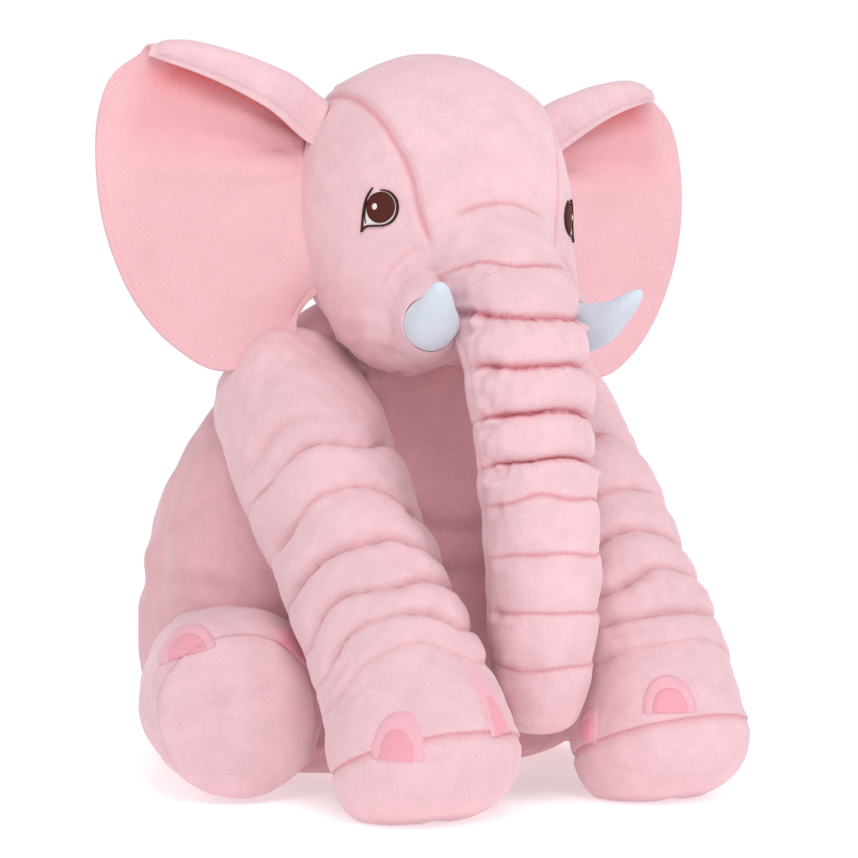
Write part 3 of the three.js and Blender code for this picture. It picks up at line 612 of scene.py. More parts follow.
# ------------------------------------------------------------------ trunk and head shape
# Centre line of the trunk: y, z, half width, half depth, in the design frame.
TRUNK_LINE = [
    (-0.050, 0.440, 0.050, 0.050), (-0.094, 0.416, 0.049, 0.050),
    (-0.128, 0.392, 0.0475, 0.048), (-0.150, 0.362, 0.0465, 0.046),
    (-0.163, 0.330, 0.0455, 0.044), (-0.171, 0.296, 0.045, 0.042),
    (-0.1765, 0.258, 0.044, 0.041), (-0.183, 0.224, 0.0435, 0.041),
    (-0.187, 0.190, 0.043, 0.041), (-0.188, 0.156, 0.042, 0.040),
    (-0.187, 0.124, 0.040, 0.038), (-0.185, 0.096, 0.037, 0.035),
    (-0.180, 0.075, 0.033, 0.030),
]
TRUNK_SEWN_Z = [0.379, 0.349, 0.320, 0.290, 0.2545, 0.2265, 0.189, 0.149, 0.110]
TRUNK_SEWN_PULL = [0.30, 0.80, 1.0, 1.0, 0.85, 0.22, 0.18, 0.18, 0.16]
UPPER_SPLIT = 3
LOWER_SPLIT = 6


def trunk_guide():
    """Fine points of the trunk's centre line with their distance along it."""
    fine = spline(TRUNK_LINE, np.linspace(0, 1, 600))
    line = np.stack([np.zeros(len(fine)), fine[:, 0], fine[:, 1]], 1)
    return fine, line, travelled(line)


def trunk_sewn():
    """Distance along the trunk of each sewn line."""
    fine, _, run = trunk_guide()
    return np.interp(-np.array(TRUNK_SEWN_Z), -fine[:, 1], run)


def trunk_relief(run, turn, points):
    """Height of the trunk's skin and the strength of its painted crease shade; turn is 0 at the
    front middle.
    """
    lines = trunk_sewn()
    bow = np.interp(run, lines[:4], [0.030, 0.016, 0.006, 0.0])
    run = run + bow * (1 - np.cos(np.clip(turn, -1.7, 1.7))) + 0.0011 * waves(points, 0.05, 11)
    depth = sizes().trunk_groove * np.array(TRUNK_SEWN_PULL)
    front = 0.10 + 0.90 * (1 - ease(1.15, 1.85, np.abs(turn)))
    relief = front * quilting(run, lines, depth, 0.22)
    side = bell(np.abs(turn) - 1.35, 0.36)
    for line, pull in zip(lines, TRUNK_SEWN_PULL):
        near = bell(run - line - 0.003, 0.011) * min(1.0, 1.6 * pull)
        relief += 0.0030 * side * near * waves(points, 0.015, 23)
        below = (run > line) * np.exp(-np.abs(run - line) / 0.013) * min(1.0, 1.4 * pull)
        relief += 0.0010 * front * below * waves(points * np.array([1, 0.3, 0.3]), 0.008, 31)
    relief -= 0.0014 * bell(np.abs(turn) - 1.75, 0.04)
    crease_shade = front * crease_shade_at(run, lines, np.minimum(0.8, 0.3 + np.array(TRUNK_SEWN_PULL)),
                               0.0018)
    return relief + 0.0006 * waves(points, 0.03, 5), crease_shade


def trunk_tube(first, last, down):
    """One length of the trunk between two distances along it."""
    fine, _, run = trunk_guide()
    spots = np.linspace(first, last, down)
    y, z, wide, deep = (np.interp(spots, run, fine[:, k]) for k in range(4))
    ahead = unit(np.stack([np.gradient(y, spots), np.gradient(z, spots)], 1))
    around = sizes().around
    turn = -math.pi + TAU * np.arange(around) / around
    reach = soft_power(np.sin(turn), 2.2), soft_power(np.cos(turn), 2.2)
    forward = np.stack([ahead[:, 1], -ahead[:, 0]], 1)
    forward *= -np.sign(forward[:, :1] + 1e-9)
    grid = np.stack([
        wide[:, None] * reach[0],
        y[:, None] + deep[:, None] * reach[1] * forward[:, :1],
        z[:, None] + deep[:, None] * reach[1] * forward[:, 1:],
    ], -1)
    centres = np.stack([np.zeros(down), y, z], 1)
    normal = outward(grid, centres)
    relief, crease_shade = trunk_relief(np.repeat(spots[:, None], around, 1),
                                  np.repeat(turn[None, :], down, 0), grid)
    return grid + normal * relief[..., None], centres, crease_shade


def gusset_half(turn):
    """Half width of the middle strip of the head by angle, front 0, top a quarter turn."""
    marks = np.array([0.54, 0.64, 0.72, 0.74, 0.70, 0.62, 0.54, 0.46, 0.42, 0.42, 0.42,
                      0.44, 0.54])
    share = (turn / TAU) % 1
    return 0.118 * spline(marks[:, None], share)[..., 0]


def smooth_join(a, b, reach):
    share = np.clip(0.5 + 0.5 * (b - a) / reach, 0, 1)
    return b * (1 - share) + a * share - reach * share * (1 - share)


def round_body(points, centre, radii, square=2.0):
    """Rough signed distance to a rounded solid."""
    scaled = np.abs(points - np.array(centre)) / np.array(radii)
    size = (scaled ** square).sum(-1) ** (1 / square)
    return (size - 1) * min(radii)


def head_distance(points):
    """Signed distance to the head with the top of the trunk."""
    skull = round_body(points, (0, -0.001, 0.4675), (0.1165, 0.113, 0.1265), 2.12)
    brow = round_body(points, (0, -0.030, 0.450), (0.080, 0.083, 0.094), 2.15)
    shape = smooth_join(skull, brow, 0.030)
    mirrored = points.copy()
    mirrored[..., 0] = np.abs(mirrored[..., 0])
    cheek = round_body(mirrored, (0.050, -0.046, 0.387), (0.056, 0.062, 0.056))
    shape = smooth_join(shape, cheek, 0.030)
    fine, _, run = trunk_guide()
    end = np.searchsorted(run, trunk_sewn()[UPPER_SPLIT])
    tube = None
    for i in range(0, end, 9):
        part = round_body(points, (0, fine[i, 0], fine[i, 1]),
                          (fine[i, 2], fine[i, 3], fine[i, 3]), 2.15)
        tube = part if tube is None else smooth_join(tube, part, 0.004)
    return smooth_join(shape, tube, 0.024)


def head_skin():
    """Fine skin over the head and the upper trunk, as points and faces."""
    cell = sizes().voxel * 1.0
    low = np.array([-0.13, -0.235, 0.245])
    high = np.array([0.13, 0.13, 0.615])
    count = np.ceil((high - low) / cell).astype(int)
    axes = [low[k] + cell * np.arange(count[k]) for k in range(3)]
    points = np.stack(np.meshgrid(*axes, indexing="ij"), -1)
    field = head_distance(points).astype(np.float32)
    cut = trunk_cut(points)
    field = np.maximum(field, cut)
    volume = openvdb.FloatGrid(1.0)
    volume.copyFromArray(field)
    volume.transform = openvdb.createLinearTransform(cell)
    found, quads = volume.convertToQuads(0.0)
    return np.array(found) + low, np.array(quads)


def trunk_cut(points):
    """Distance past the sewn line where the next length of trunk starts."""
    _, line, run = trunk_guide()
    stop = trunk_sewn()[UPPER_SPLIT] + 0.009
    k = np.searchsorted(run, stop)
    way = unit(line[k + 1] - line[k - 1])
    past = (points - line[k]) @ way
    near_trunk = points[..., 1] < -0.10
    return np.where(near_trunk & (points[..., 2] < 0.36), past, -0.05).astype(np.float32)


def head_relief(points):
    """Height of the head's skin with the upper trunk, and the strength of its painted crease
    shade.
    """
    turn = np.arctan2(points[:, 2] - HEAD_CENTRE[2], -points[:, 1])
    groove = sizes().seam_groove
    _, line, run = trunk_guide()
    nearest = np.argmin(
        (points[:, None, 1] - line[None, ::4, 1]) ** 2
        + (points[:, None, 2] - line[None, ::4, 2]) ** 2, axis=1) * 4
    radial = points - line[nearest]
    ahead = unit(np.gradient(line, axis=0))[nearest]
    along = run[nearest] + (radial * ahead).sum(1)
    on_trunk = ease(0.050, 0.068, along)
    forward = np.stack([np.zeros(len(points)), ahead[:, 2], -ahead[:, 1]], 1)
    forward *= -np.sign(forward[:, 1:2] + 1e-9)
    lean = np.arctan2(radial[:, 0], (radial * forward).sum(1))
    relief, crease_shade = trunk_relief(along, lean, points)
    past = along - trunk_sewn()[UPPER_SPLIT]
    sunk = -sizes().trunk_groove * TRUNK_SEWN_PULL[UPPER_SPLIT] - 0.001 - 0.35 * past
    relief = np.where((past > 0) & (points[:, 2] < 0.36), sunk, relief)
    relief *= on_trunk
    crease_shade *= on_trunk
    strip = np.abs(points[:, 0]) - gusset_half(turn)
    above = 1 - on_trunk
    relief += above * (-groove * bell(strip, 0.0030) + 0.0022 * bell(strip + 0.010, 0.011))
    # Painted shade: the crease values here darken the gusset seams, the brow line and the rings
    # round the tusk cuffs.
    crease_shade = np.maximum(crease_shade, 0.5 * above * bell(strip, 0.0018))
    crown = bell(turn - 1.9, 0.35) * bell(strip, 0.016)
    relief += 0.0010 * crown * waves(points, 0.012, 41)
    brow = points[:, 2] - 0.4600 + 7 * points[:, 0] ** 2
    front = (points[:, 1] < -0.06) * (1 - ease(0.030, 0.044, np.abs(points[:, 0])))
    relief += front * (-0.0013 * bell(brow, 0.0024) + 0.0009 * bell(brow + 0.008, 0.007))
    crease_shade = np.maximum(crease_shade, 0.4 * front * bell(brow, 0.0022))
    relief += above * (0.0006 * waves(points, 0.09, 3) + 0.0002 * waves(points, 0.02, 8))
    ring, over = cuff_ring(points)
    relief += above * (-0.0024 * bell(ring - 1.10, 0.09) - 0.0022 * over * bell(ring - 1.42, 0.08))
    crease_shade = np.maximum(crease_shade, 0.6 * above * bell(ring - 1.10, 0.07))
    crease_shade = np.maximum(crease_shade, 0.3 * above * over * bell(ring - 1.42, 0.07))
    # Painted shade darkening the lower head and the cheeks, which face down away from the light.
    crease_shade = np.maximum(crease_shade, 0.24 * above * ease(0.43, 0.35, points[:, 2]))
    cheek = bell(points[:, 2] - 0.358, 0.018) * bell(np.abs(points[:, 0]) - 0.08, 0.03)
    return relief + 0.0010 * cheek * waves(points, 0.016, 17), crease_shade


def cuff_ring(points):
    """Distance from the tusk's axis, 1 at its cuff, and how far above and outside it is."""
    lean = math.radians(TUSK_SPLAY)
    rel = np.stack([np.abs(points[:, 0]), points[:, 1], points[:, 2]], 1) - TUSK_SPOT
    across = rel[:, 0] * math.cos(lean) + rel[:, 1] * math.sin(lean)
    forward = rel[:, 0] * math.sin(lean) - rel[:, 1] * math.cos(lean)
    ring = np.sqrt((across / 0.027) ** 2 + ((rel[:, 2] - 0.004) / 0.035) ** 2)
    ring = np.where(forward < -0.06, 9.0, ring)
    turn = np.arctan2(rel[:, 2], across)
    return ring, bell(turn - 2.0 + 1.2, 0.9)


# ------------------------------------------------------------------ operators
class PlushOperator:
    """Shared settings of the sewing operators."""

    bl_options = {"REGISTER", "UNDO"}


class PLUSH_OT_head(PlushOperator, bpy.types.Operator):
    """Sew the head with its middle strip and the upper trunk"""

    bl_idname = "plush.head"
    bl_label = "Head"

    def execute(self, context):
        points, quads = head_skin()
        head = new_object("head_plush", points, quads, fabric("plush"))
        smooth_skin(head, 6)
        subdivide(head)
        skin = coordinates(head)
        relief, crease_shade = head_relief(skin)
        set_coordinates(head, skin + normals_of(head) * relief[:, None])
        smooth_skin(head, 1, 0.35)
        paint_crease_shade(head, crease_shade)
        set_coordinates(head, place(coordinates(head)))
        turn_outward(head)
        tree = skin_tree(head)
        lines = head_seams(tree)
        pitch = sizes().stitch_pitch
        seams = stitches("head_seam_threads", lines[0], fabric("thread"), pitch)
        sewn = stitches("upper_trunk_threads", lines[1], fabric("thread"), pitch)
        declare(head, (
            "crown_gusset", "chin_panel", "left_head_panel", "right_head_panel",
            "head_filling", "trunk_base_cover", "trunk_base_filling",
        ), blend=TRUNK_ROOT_BEND)
        declare(seams, body="head")
        declare(sewn, blend=TRUNK_ROOT_BEND)
        return {"FINISHED"}


TRUNK_ROOT_BEND = ("head", "trunk_base", (0, -0.118, 0.402), (0, -0.176, 0.350))
TRUNK_MIDDLE_BEND = ("trunk_base", "trunk_middle", (0, -0.173, 0.280), (0, -0.183, 0.216))
TRUNK_TIP_BEND = ("trunk_middle", "trunk_tip", (0, -0.187, 0.166), (0, -0.187, 0.108))


def smooth_skin(obj, rounds, factor=0.5):
    """Evens out a skin by moving each point towards its neighbours."""
    mesh = obj.data
    count = len(mesh.vertices)
    ends = np.zeros(len(mesh.edges) * 2, int)
    mesh.edges.foreach_get("vertices", ends)
    a, b = ends.reshape(-1, 2).T
    links = np.bincount(a, minlength=count) + np.bincount(b, minlength=count)
    points = coordinates(obj)
    for _ in range(rounds):
        total = np.stack([
            np.bincount(a, points[b, k], count) + np.bincount(b, points[a, k], count)
            for k in range(3)], 1)
        points += factor * (total / np.maximum(links, 1)[:, None] - points)
    set_coordinates(obj, points)


def subdivide(obj):
    """One level of smooth subdivision, applied."""
    finer = obj.modifiers.new("Finer", "SUBSURF")
    finer.levels = finer.render_levels = 1
    made = evaluated_copy(obj)
    obj.modifiers.remove(finer)
    obj.data = made


def head_seams(tree):
    """Paths of the two gusset seams and of the sewn lines on the upper trunk."""
    seams = []
    for side in (-1, 1):
        path = []
        for turn in np.linspace(-0.30, 3.6, 90):
            half = float(gusset_half(np.array([turn]))[0])
            reach = 0.125 * math.sqrt(max(0.05, 1 - (half / 0.13) ** 2))
            spot = HEAD_CENTRE + np.array([
                side * half, -reach * math.cos(turn), reach * math.sin(turn)])
            path.append(place(spot))
        seams.append(snap(tree, path, THREAD_LIFT))
    sewn = trunk_sewn()[:UPPER_SPLIT + 1]
    lines = [snap(tree, trunk_line_points(spot, THREAD_SPREAD), THREAD_LIFT) for spot in sewn]
    return seams, lines


def trunk_line_points(spot, spread, count=40):
    """Points of one sewn line round the front of the trunk."""
    fine, line, run = trunk_guide()
    y, z, wide, deep = (np.interp(spot, run, fine[:, k]) for k in range(4))
    k = min(np.searchsorted(run, spot), len(run) - 2)
    ahead = unit(line[k + 1] - line[k - 1])
    forward = np.array([ahead[2], -ahead[1]])
    forward *= -np.sign(forward[0])
    turn = np.linspace(-spread, spread, count)
    return place(np.stack([
        wide * np.sin(turn), y + deep * np.cos(turn) * forward[0],
        z + deep * np.cos(turn) * forward[1]], 1))


class PLUSH_OT_trunk(PlushOperator, bpy.types.Operator):
    """Sew the middle and the tip of the trunk"""

    bl_idname = "plush.trunk"
    bl_label = "Trunk"

    def execute(self, context):
        sewn = trunk_sewn()
        _, _, run = trunk_guide()
        pitch = sizes().stitch_pitch
        jobs = (
            ("trunk_middle", sewn[UPPER_SPLIT], sewn[LOWER_SPLIT], 150,
             range(UPPER_SPLIT + 1, LOWER_SPLIT + 1), TRUNK_MIDDLE_BEND),
            ("trunk_tip", sewn[LOWER_SPLIT], run[-1], 130,
             range(LOWER_SPLIT + 1, len(sewn)), TRUNK_TIP_BEND),
        )
        for name, first, last, down, lines, bend in jobs:
            grid, centres, crease_shade = trunk_tube(first, last, down)
            crease_shade = np.concatenate([np.repeat(crease_shade[:1], len(START_TUCKS), 0), crease_shade])
            grid = tucked(grid, centres, name == "trunk_tip")
            piece = wrapped(f"{name}_plush", place(grid), fabric("plush"))
            # Painted crease shade along the trunk's sewn lines.
            paint_crease_shade(piece, crease_shade)
            tree = skin_tree(piece)
            paths = [snap(tree, trunk_line_points(sewn[k], THREAD_SPREAD), THREAD_LIFT)
                     for k in lines]
            threads = stitches(f"{name}_threads", paths, fabric("thread"), pitch)
            nodes = (f"{name}_cover", f"{name}_filling")
            declare(piece, nodes, blend=bend)
            declare(threads, blend=bend)
        return {"FINISHED"}


# Share of the ring and rise up inside the previous piece, for each ring of the tuck.
START_TUCKS = ((0.70, 0.012), (0.88, 0.008), (0.975, 0.003))


def tucked(grid, centres, rounded_end):
    """Adds an inward tuck at the start and a tuck or a rounded tip at the end."""
    back = unit(centres[0] - centres[1])
    start = [centres[0] + (grid[0] - centres[0]) * share + back * rise
             for share, rise in START_TUCKS]
    way = unit(centres[-1] - centres[-2])
    if rounded_end:
        way = unit(np.array([0.0, 0.35, -0.94]))
        leans = np.radians([10, 20, 30, 40, 50, 60, 70, 80, 87])
        end = [centres[-1] + way * 0.021 * math.sin(a)
               + (grid[-1] - centres[-1]) * math.cos(a) for a in leans]
    else:
        end = [centres[-1] + (grid[-1] - centres[-1]) * share + way * drop
               for share, drop in ((0.96, 0.002), (0.85, 0.005), (0.6, 0.007))]
    return np.concatenate([np.array(start), grid, np.array(end)])


# ------------------------------------------------------------------ eyes
EYE_SPOT = np.array([0.084, -0.084, 0.4555])


def eye_frame(side, tree):
    """Origin and axes of the cloth under one eye."""
    spot = place(EYE_SPOT * np.array([side, 1, 1]))
    origin, normal, _, _ = tree.find_nearest(Vector(spot))
    up = Vector((0, 0, 1)) - normal * normal.z
    up.normalize()
    outer = normal.cross(up) * -side
    if outer.x * side < 0:
        outer = -outer
    return origin, outer, up, normal


def on_cloth(tree, eye, flat, lift):
    """Drawing points in millimetres laid on the cloth; first number grows outwards."""
    origin, outer, up, normal = eye
    found = []
    for x, y in flat:
        spot = origin + outer * (x / 1000) + up * (y / 1000) + normal * 0.02
        hit = tree.ray_cast(spot, -normal)
        base = hit[0] if hit[0] else spot - normal * 0.02
        found.append(base + normal * lift)
    return found


def appliqued(name, tree, eye, outline, lift, thick, material, rings=8):
    """A small embroidered field: domed, closed and following the cloth."""
    outline = np.asarray(outline, float)
    middle = outline.mean(0)
    count = len(outline)
    points = []
    for k in range(rings):
        share = 1 - k / rings
        dome = thick * math.sqrt(1 - share ** 2 * 0.96)
        flat = middle + (outline - middle) * share
        points += on_cloth(tree, eye, flat, lift + dome)
    top = len(points)
    points += on_cloth(tree, eye, [middle], lift + thick)
    under = len(points)
    points += on_cloth(tree, eye, outline, lift - 0.0012)
    faces = []
    for j in range(count):
        n = (j + 1) % count
        for k in range(rings - 1):
            a, b = k * count, (k + 1) * count
            faces.append((a + j, a + n, b + n, b + j))
        last = (rings - 1) * count
        faces.append((last + j, last + n, top))
        faces.append((under + n, under + j, j, n)[::-1])
    faces.append(tuple(under + j for j in range(count))[::-1])
    obj = new_object(name, points, faces, material)
    return oriented(obj)


def oriented(obj):
    """Makes a closed piece's faces agree and point outwards."""
    work = bmesh.new()
    work.from_mesh(obj.data)
    bmesh.ops.recalc_face_normals(work, faces=work.faces)
    work.to_mesh(obj.data)
    work.free()
    return turn_outward(obj)


def ribbon(name, tree, eye, line, widths, lift, thick, material):
    """A satin-stitched line of changing width."""
    line = spline(np.asarray(line, float), np.linspace(0, 1, 36))
    wide = np.interp(np.linspace(0, 1, 36), np.linspace(0, 1, len(widths)), widths)
    way = unit(np.gradient(line, axis=0))
    side = np.stack([-way[:, 1], way[:, 0]], 1)
    section = [(-1, -0.0010), (-1, 0.0), (-0.7, 0.75), (0, 1.0), (0.7, 0.75), (1, 0.0),
               (1, -0.0010)]
    points = []
    for across, rise in section:
        flat = line + side * (wide * across)[:, None]
        height = rise * thick if rise > 0 else (0.0 if rise == 0 else -0.001)
        points += on_cloth(tree, eye, flat, lift + height)
    count, rows = len(line), len(section)
    faces = []
    for k in range(rows):
        n = (k + 1) % rows
        for i in range(count - 1):
            a, b = k * count + i, n * count + i
            faces.append((a, a + 1, b + 1, b))
    faces.append(tuple(k * count for k in range(rows)))
    faces.append(tuple(k * count + count - 1 for k in range(rows)))
    return oriented(new_object(name, points, faces, material))


def circle(x, y, wide, tall=None, count=40):
    turn = TAU * np.arange(count) / count
    return np.stack([x + wide * np.cos(turn), y + (tall or wide) * np.sin(turn)], 1)


class PLUSH_OT_eyes(PlushOperator, bpy.types.Operator):
    """Embroider both eyes"""

    bl_idname = "plush.eyes"
    bl_label = "Eyes"

    def execute(self, context):
        tree = skin_tree(bpy.data.objects["head_plush"])
        for side, name in SIDES:
            eye = eye_frame(side, tree)
            self.embroider(name, tree, eye)
        return {"FINISHED"}

    def embroider(self, name, tree, eye):
        white = np.array([
            (16.2, -14.6), (15.4, -6), (13.6, 3), (10, 10.5), (3, 14), (-5, 13), (-11, 8),
            (-13, 0), (-10.6, -8), (-3, -12.6), (6, -12.8), (12, -13.4)])
        loop = np.concatenate([white, white[:1]])
        outline = spline(loop, np.linspace(0, 1, 61))[:-1]
        field = appliqued(f"{name}_eye_white_embroidery", tree, eye, outline, 0.0003,
                          0.0007, fabric("white"))
        iris = appliqued(f"{name}_eye_iris_embroidery", tree, eye, circle(0.8, 0.8, 12.2),
                         0.0008, 0.0010, fabric("iris"))
        glint = appliqued(f"{name}_eye_glint", tree, eye, circle(5.2, 1.6, 2.5, 2.7, 20),
                          0.0014, 0.0010, fabric("white"), 3)
        lash = [(7.0, 16.5), (11.5, 10.5), (14.6, 3.0), (16.2, -6.0), (16.6, -17.5)]
        inner = [(12.2, 6.5), (13.9, 0.5), (14.2, -6.5), (13.2, -11.0)]
        lid = [(17.6, -17.2), (13.0, -13.6), (6.0, -13.4), (-3.0, -13.2), (-9.8, -9.4),
               (-13.2, -1.5), (-12.2, 6.4), (-6.8, 12.6), (0.4, 14.6)]
        rim = ribbon(f"{name}_eye_lash_embroidery", tree, eye, lash, (0.45, 0.95, 1.0, 0.95,
                     1.1), 0.0009, 0.0011, fabric("outline"))
        fine = ribbon(f"{name}_eye_inner_line", tree, eye, inner, (0.3, 0.5, 0.5, 0.4),
                      0.0009, 0.0009, fabric("outline"))
        lower = ribbon(f"{name}_eye_lid_line", tree, eye, lid,
                       (0.9, 0.9, 0.7, 0.7, 0.95, 1.1, 1.1, 0.8, 0.4), 0.0009, 0.0011,
                       fabric("outline"))
        declare(field, (f"{name}_eye_white",), "head")
        declare(iris, (f"{name}_eye_iris",), "head")
        declare(rim, (f"{name}_eye_lash",), "head")
        declare(glint, (), "head")
        declare(fine, (), "head")
        declare(lower, (), "head")


# ------------------------------------------------------------------ tusks
TUSK_SPOT = (0.0535, -0.101, 0.370)
TUSK_SPLAY = 21


def seat_matrix(side, spot, splay):
    """Place of a piece sewn on at a spot and turned outwards, mirrored on the right."""
    turn = Matrix.Rotation(math.radians(splay), 4, "Z")
    seat = Matrix.Translation(Vector(spot) + Vector((0, EAR_LINE_Y, 0)))
    return Matrix.Diagonal((side, 1, 1, 1)) @ seat @ turn


def moved(points, matrix):
    table = np.array(matrix)
    return points @ table[:3, :3].T + table[:3, 3]


TUSK_STATIONS = [
    (0, 0.016, 0.001, 0.0180, 0.0180, 90, 2), (0, -0.010, -0.003, 0.0195, 0.0200, 90, 2),
    (0, -0.030, -0.006, 0.0208, 0.0205, 90, 2), (0, -0.048, -0.0055, 0.0195, 0.0185, 90, 2),
    (0, -0.063, -0.001, 0.0162, 0.0150, 90, 2), (0, -0.076, 0.0060, 0.0124, 0.0112, 90, 2),
    (0, -0.086, 0.0130, 0.0088, 0.0080, 90, 2), (0, -0.0925, 0.0175, 0.0046, 0.0042, 90, 2),
    (0, -0.0940, 0.0185, 0.0014, 0.0014, 90, 2),
]
CUFF_STATIONS = [
    (0, 0.040, 0.004, 0.034, 0.038, 90, 2), (0, 0.020, 0.003, 0.033, 0.037, 90, 2),
    (0, 0.004, 0.002, 0.0300, 0.035, 90, 2), (0, -0.008, 0.001, 0.0275, 0.033, 90, 2),
    (0, -0.018, -0.001, 0.0250, 0.0295, 90, 2), (0, -0.0265, -0.003, 0.0234, 0.0262, 90, 2),
    (0, -0.0300, -0.005, 0.0222, 0.0232, 90, 2), (0, -0.0300, -0.006, 0.0205, 0.0208, 90, 2),
    (0, -0.022, -0.005, 0.0188, 0.0188, 90, 2),
]


class PLUSH_OT_tusks(PlushOperator, bpy.types.Operator):
    """Sew the two tusks and their cuffs"""

    bl_idname = "plush.tusks"
    bl_label = "Tusks"

    def execute(self, context):
        for side, name in SIDES:
            seat = seat_matrix(side, TUSK_SPOT, TUSK_SPLAY)
            grid, centres, turn = tube_grid(TUSK_STATIONS, 60, 48)
            relief = 0.0002 * waves(grid, 0.03, 71) - 0.0006 * bell(
                np.abs(turn - math.pi / 2), 0.06)[None, :]
            grid = grid + outward(grid, centres) * relief[..., None]
            tusk = wrapped(f"{name}_tusk_plush", moved(grid, seat), fabric("tusk"))
            grid, centres, turn = tube_grid(CUFF_STATIONS, 40, 64)
            pull = bell(turn - 2.1, 0.16)[None, :] * np.linspace(1, 0.3, 40)[:, None]
            peak = bell(turn - 1.57, 0.34)[None, :] * np.linspace(1, 0.1, 40)[:, None]
            relief = 0.0005 * waves(grid, 0.02, 73) - 0.0024 * pull + 0.0075 * peak
            grid = grid + outward(grid, centres) * relief[..., None]
            cuff = wrapped(f"{name}_tusk_cuff_plush", moved(grid, seat), fabric("plush"))
            declare(tusk, (f"{name}_tusk_cover", f"{name}_tusk_filling"), "head")
            declare(cuff, (f"{name}_tusk_cuff",), "head")
        return {"FINISHED"}


# ------------------------------------------------------------------ ears
EAR_EDGE = [
    (0.000, 0.364), (0.025, 0.340), (0.070, 0.331), (0.107, 0.351), (0.134, 0.380),
    (0.153, 0.414), (0.1655, 0.451), (0.1705, 0.491), (0.1680, 0.530), (0.1560, 0.563),
    (0.1310, 0.583),
]
EAR_ROOT_X = 0.1135
EAR_SWEEP = math.radians(15)
EAR_ROLL = 0.0098


def ear_surface(u, v):
    """Middle surface of the left ear; v over 1 is the folded top."""
    flat_v = np.minimum(v, 1.0)
    edge = spline(EAR_EDGE, flat_v)
    root_x = -0.004 - 0.010 * (2 * flat_v - 1) ** 2
    root_z = 0.394 + 0.142 * flat_v
    reach = root_x + (edge[..., 0] - root_x) * u
    height = root_z + (edge[..., 1] - root_z) * u
    height = height + 0.010 * np.sin(math.pi * u) * flat_v ** 4
    dish = 0.016 * np.sin(math.pi * np.clip(u, 0, 1) ** 0.8) * (1 - flat_v ** 2) ** 0.5
    dish = dish + 0.010 * ease(0.3, 1.0, u) * (1 - flat_v)
    curl = 0.012 * ease(0.72, 1.0, u) * np.sin(math.pi * flat_v)
    forward = curl - dish + 0.004 * np.sin(3.1 * math.pi * flat_v + 0.6) * u * (1 - flat_v)
    forward -= 0.016 * (1 - ease(0.0, 0.35, u)) * bell(flat_v - 0.95, 0.25)
    forward += 0.0055 * (1 - u) ** 0.7 * ease(0, 0.1, u) * (
        bell(flat_v - 0.70, 0.045) - 0.8 * bell(flat_v - 0.79, 0.035)
        + 0.7 * bell(flat_v - 0.87, 0.03))
    roll = EAR_ROLL * (1 - 0.40 * u)
    flap = 0.026 * (1 - 0.85 * u ** 1.4)
    walk = np.maximum(v - 1, 0) * 2 * (math.pi * roll + flap)
    angle = np.minimum(walk / roll, math.pi * 0.96)
    beyond = np.maximum(walk - math.pi * 0.96 * roll, 0)
    up = roll * np.sin(angle) - beyond
    out = roll * (1 - np.cos(angle)) + 0.10 * beyond
    lean = math.radians(24)
    reach = reach - up * math.sin(lean)
    height = height + up * math.cos(lean)
    forward = forward + out
    return np.stack([
        EAR_ROOT_X + reach * math.cos(EAR_SWEEP) - forward * math.sin(EAR_SWEEP),
        reach * math.sin(EAR_SWEEP) - forward * math.cos(EAR_SWEEP),
        height,
    ], -1)


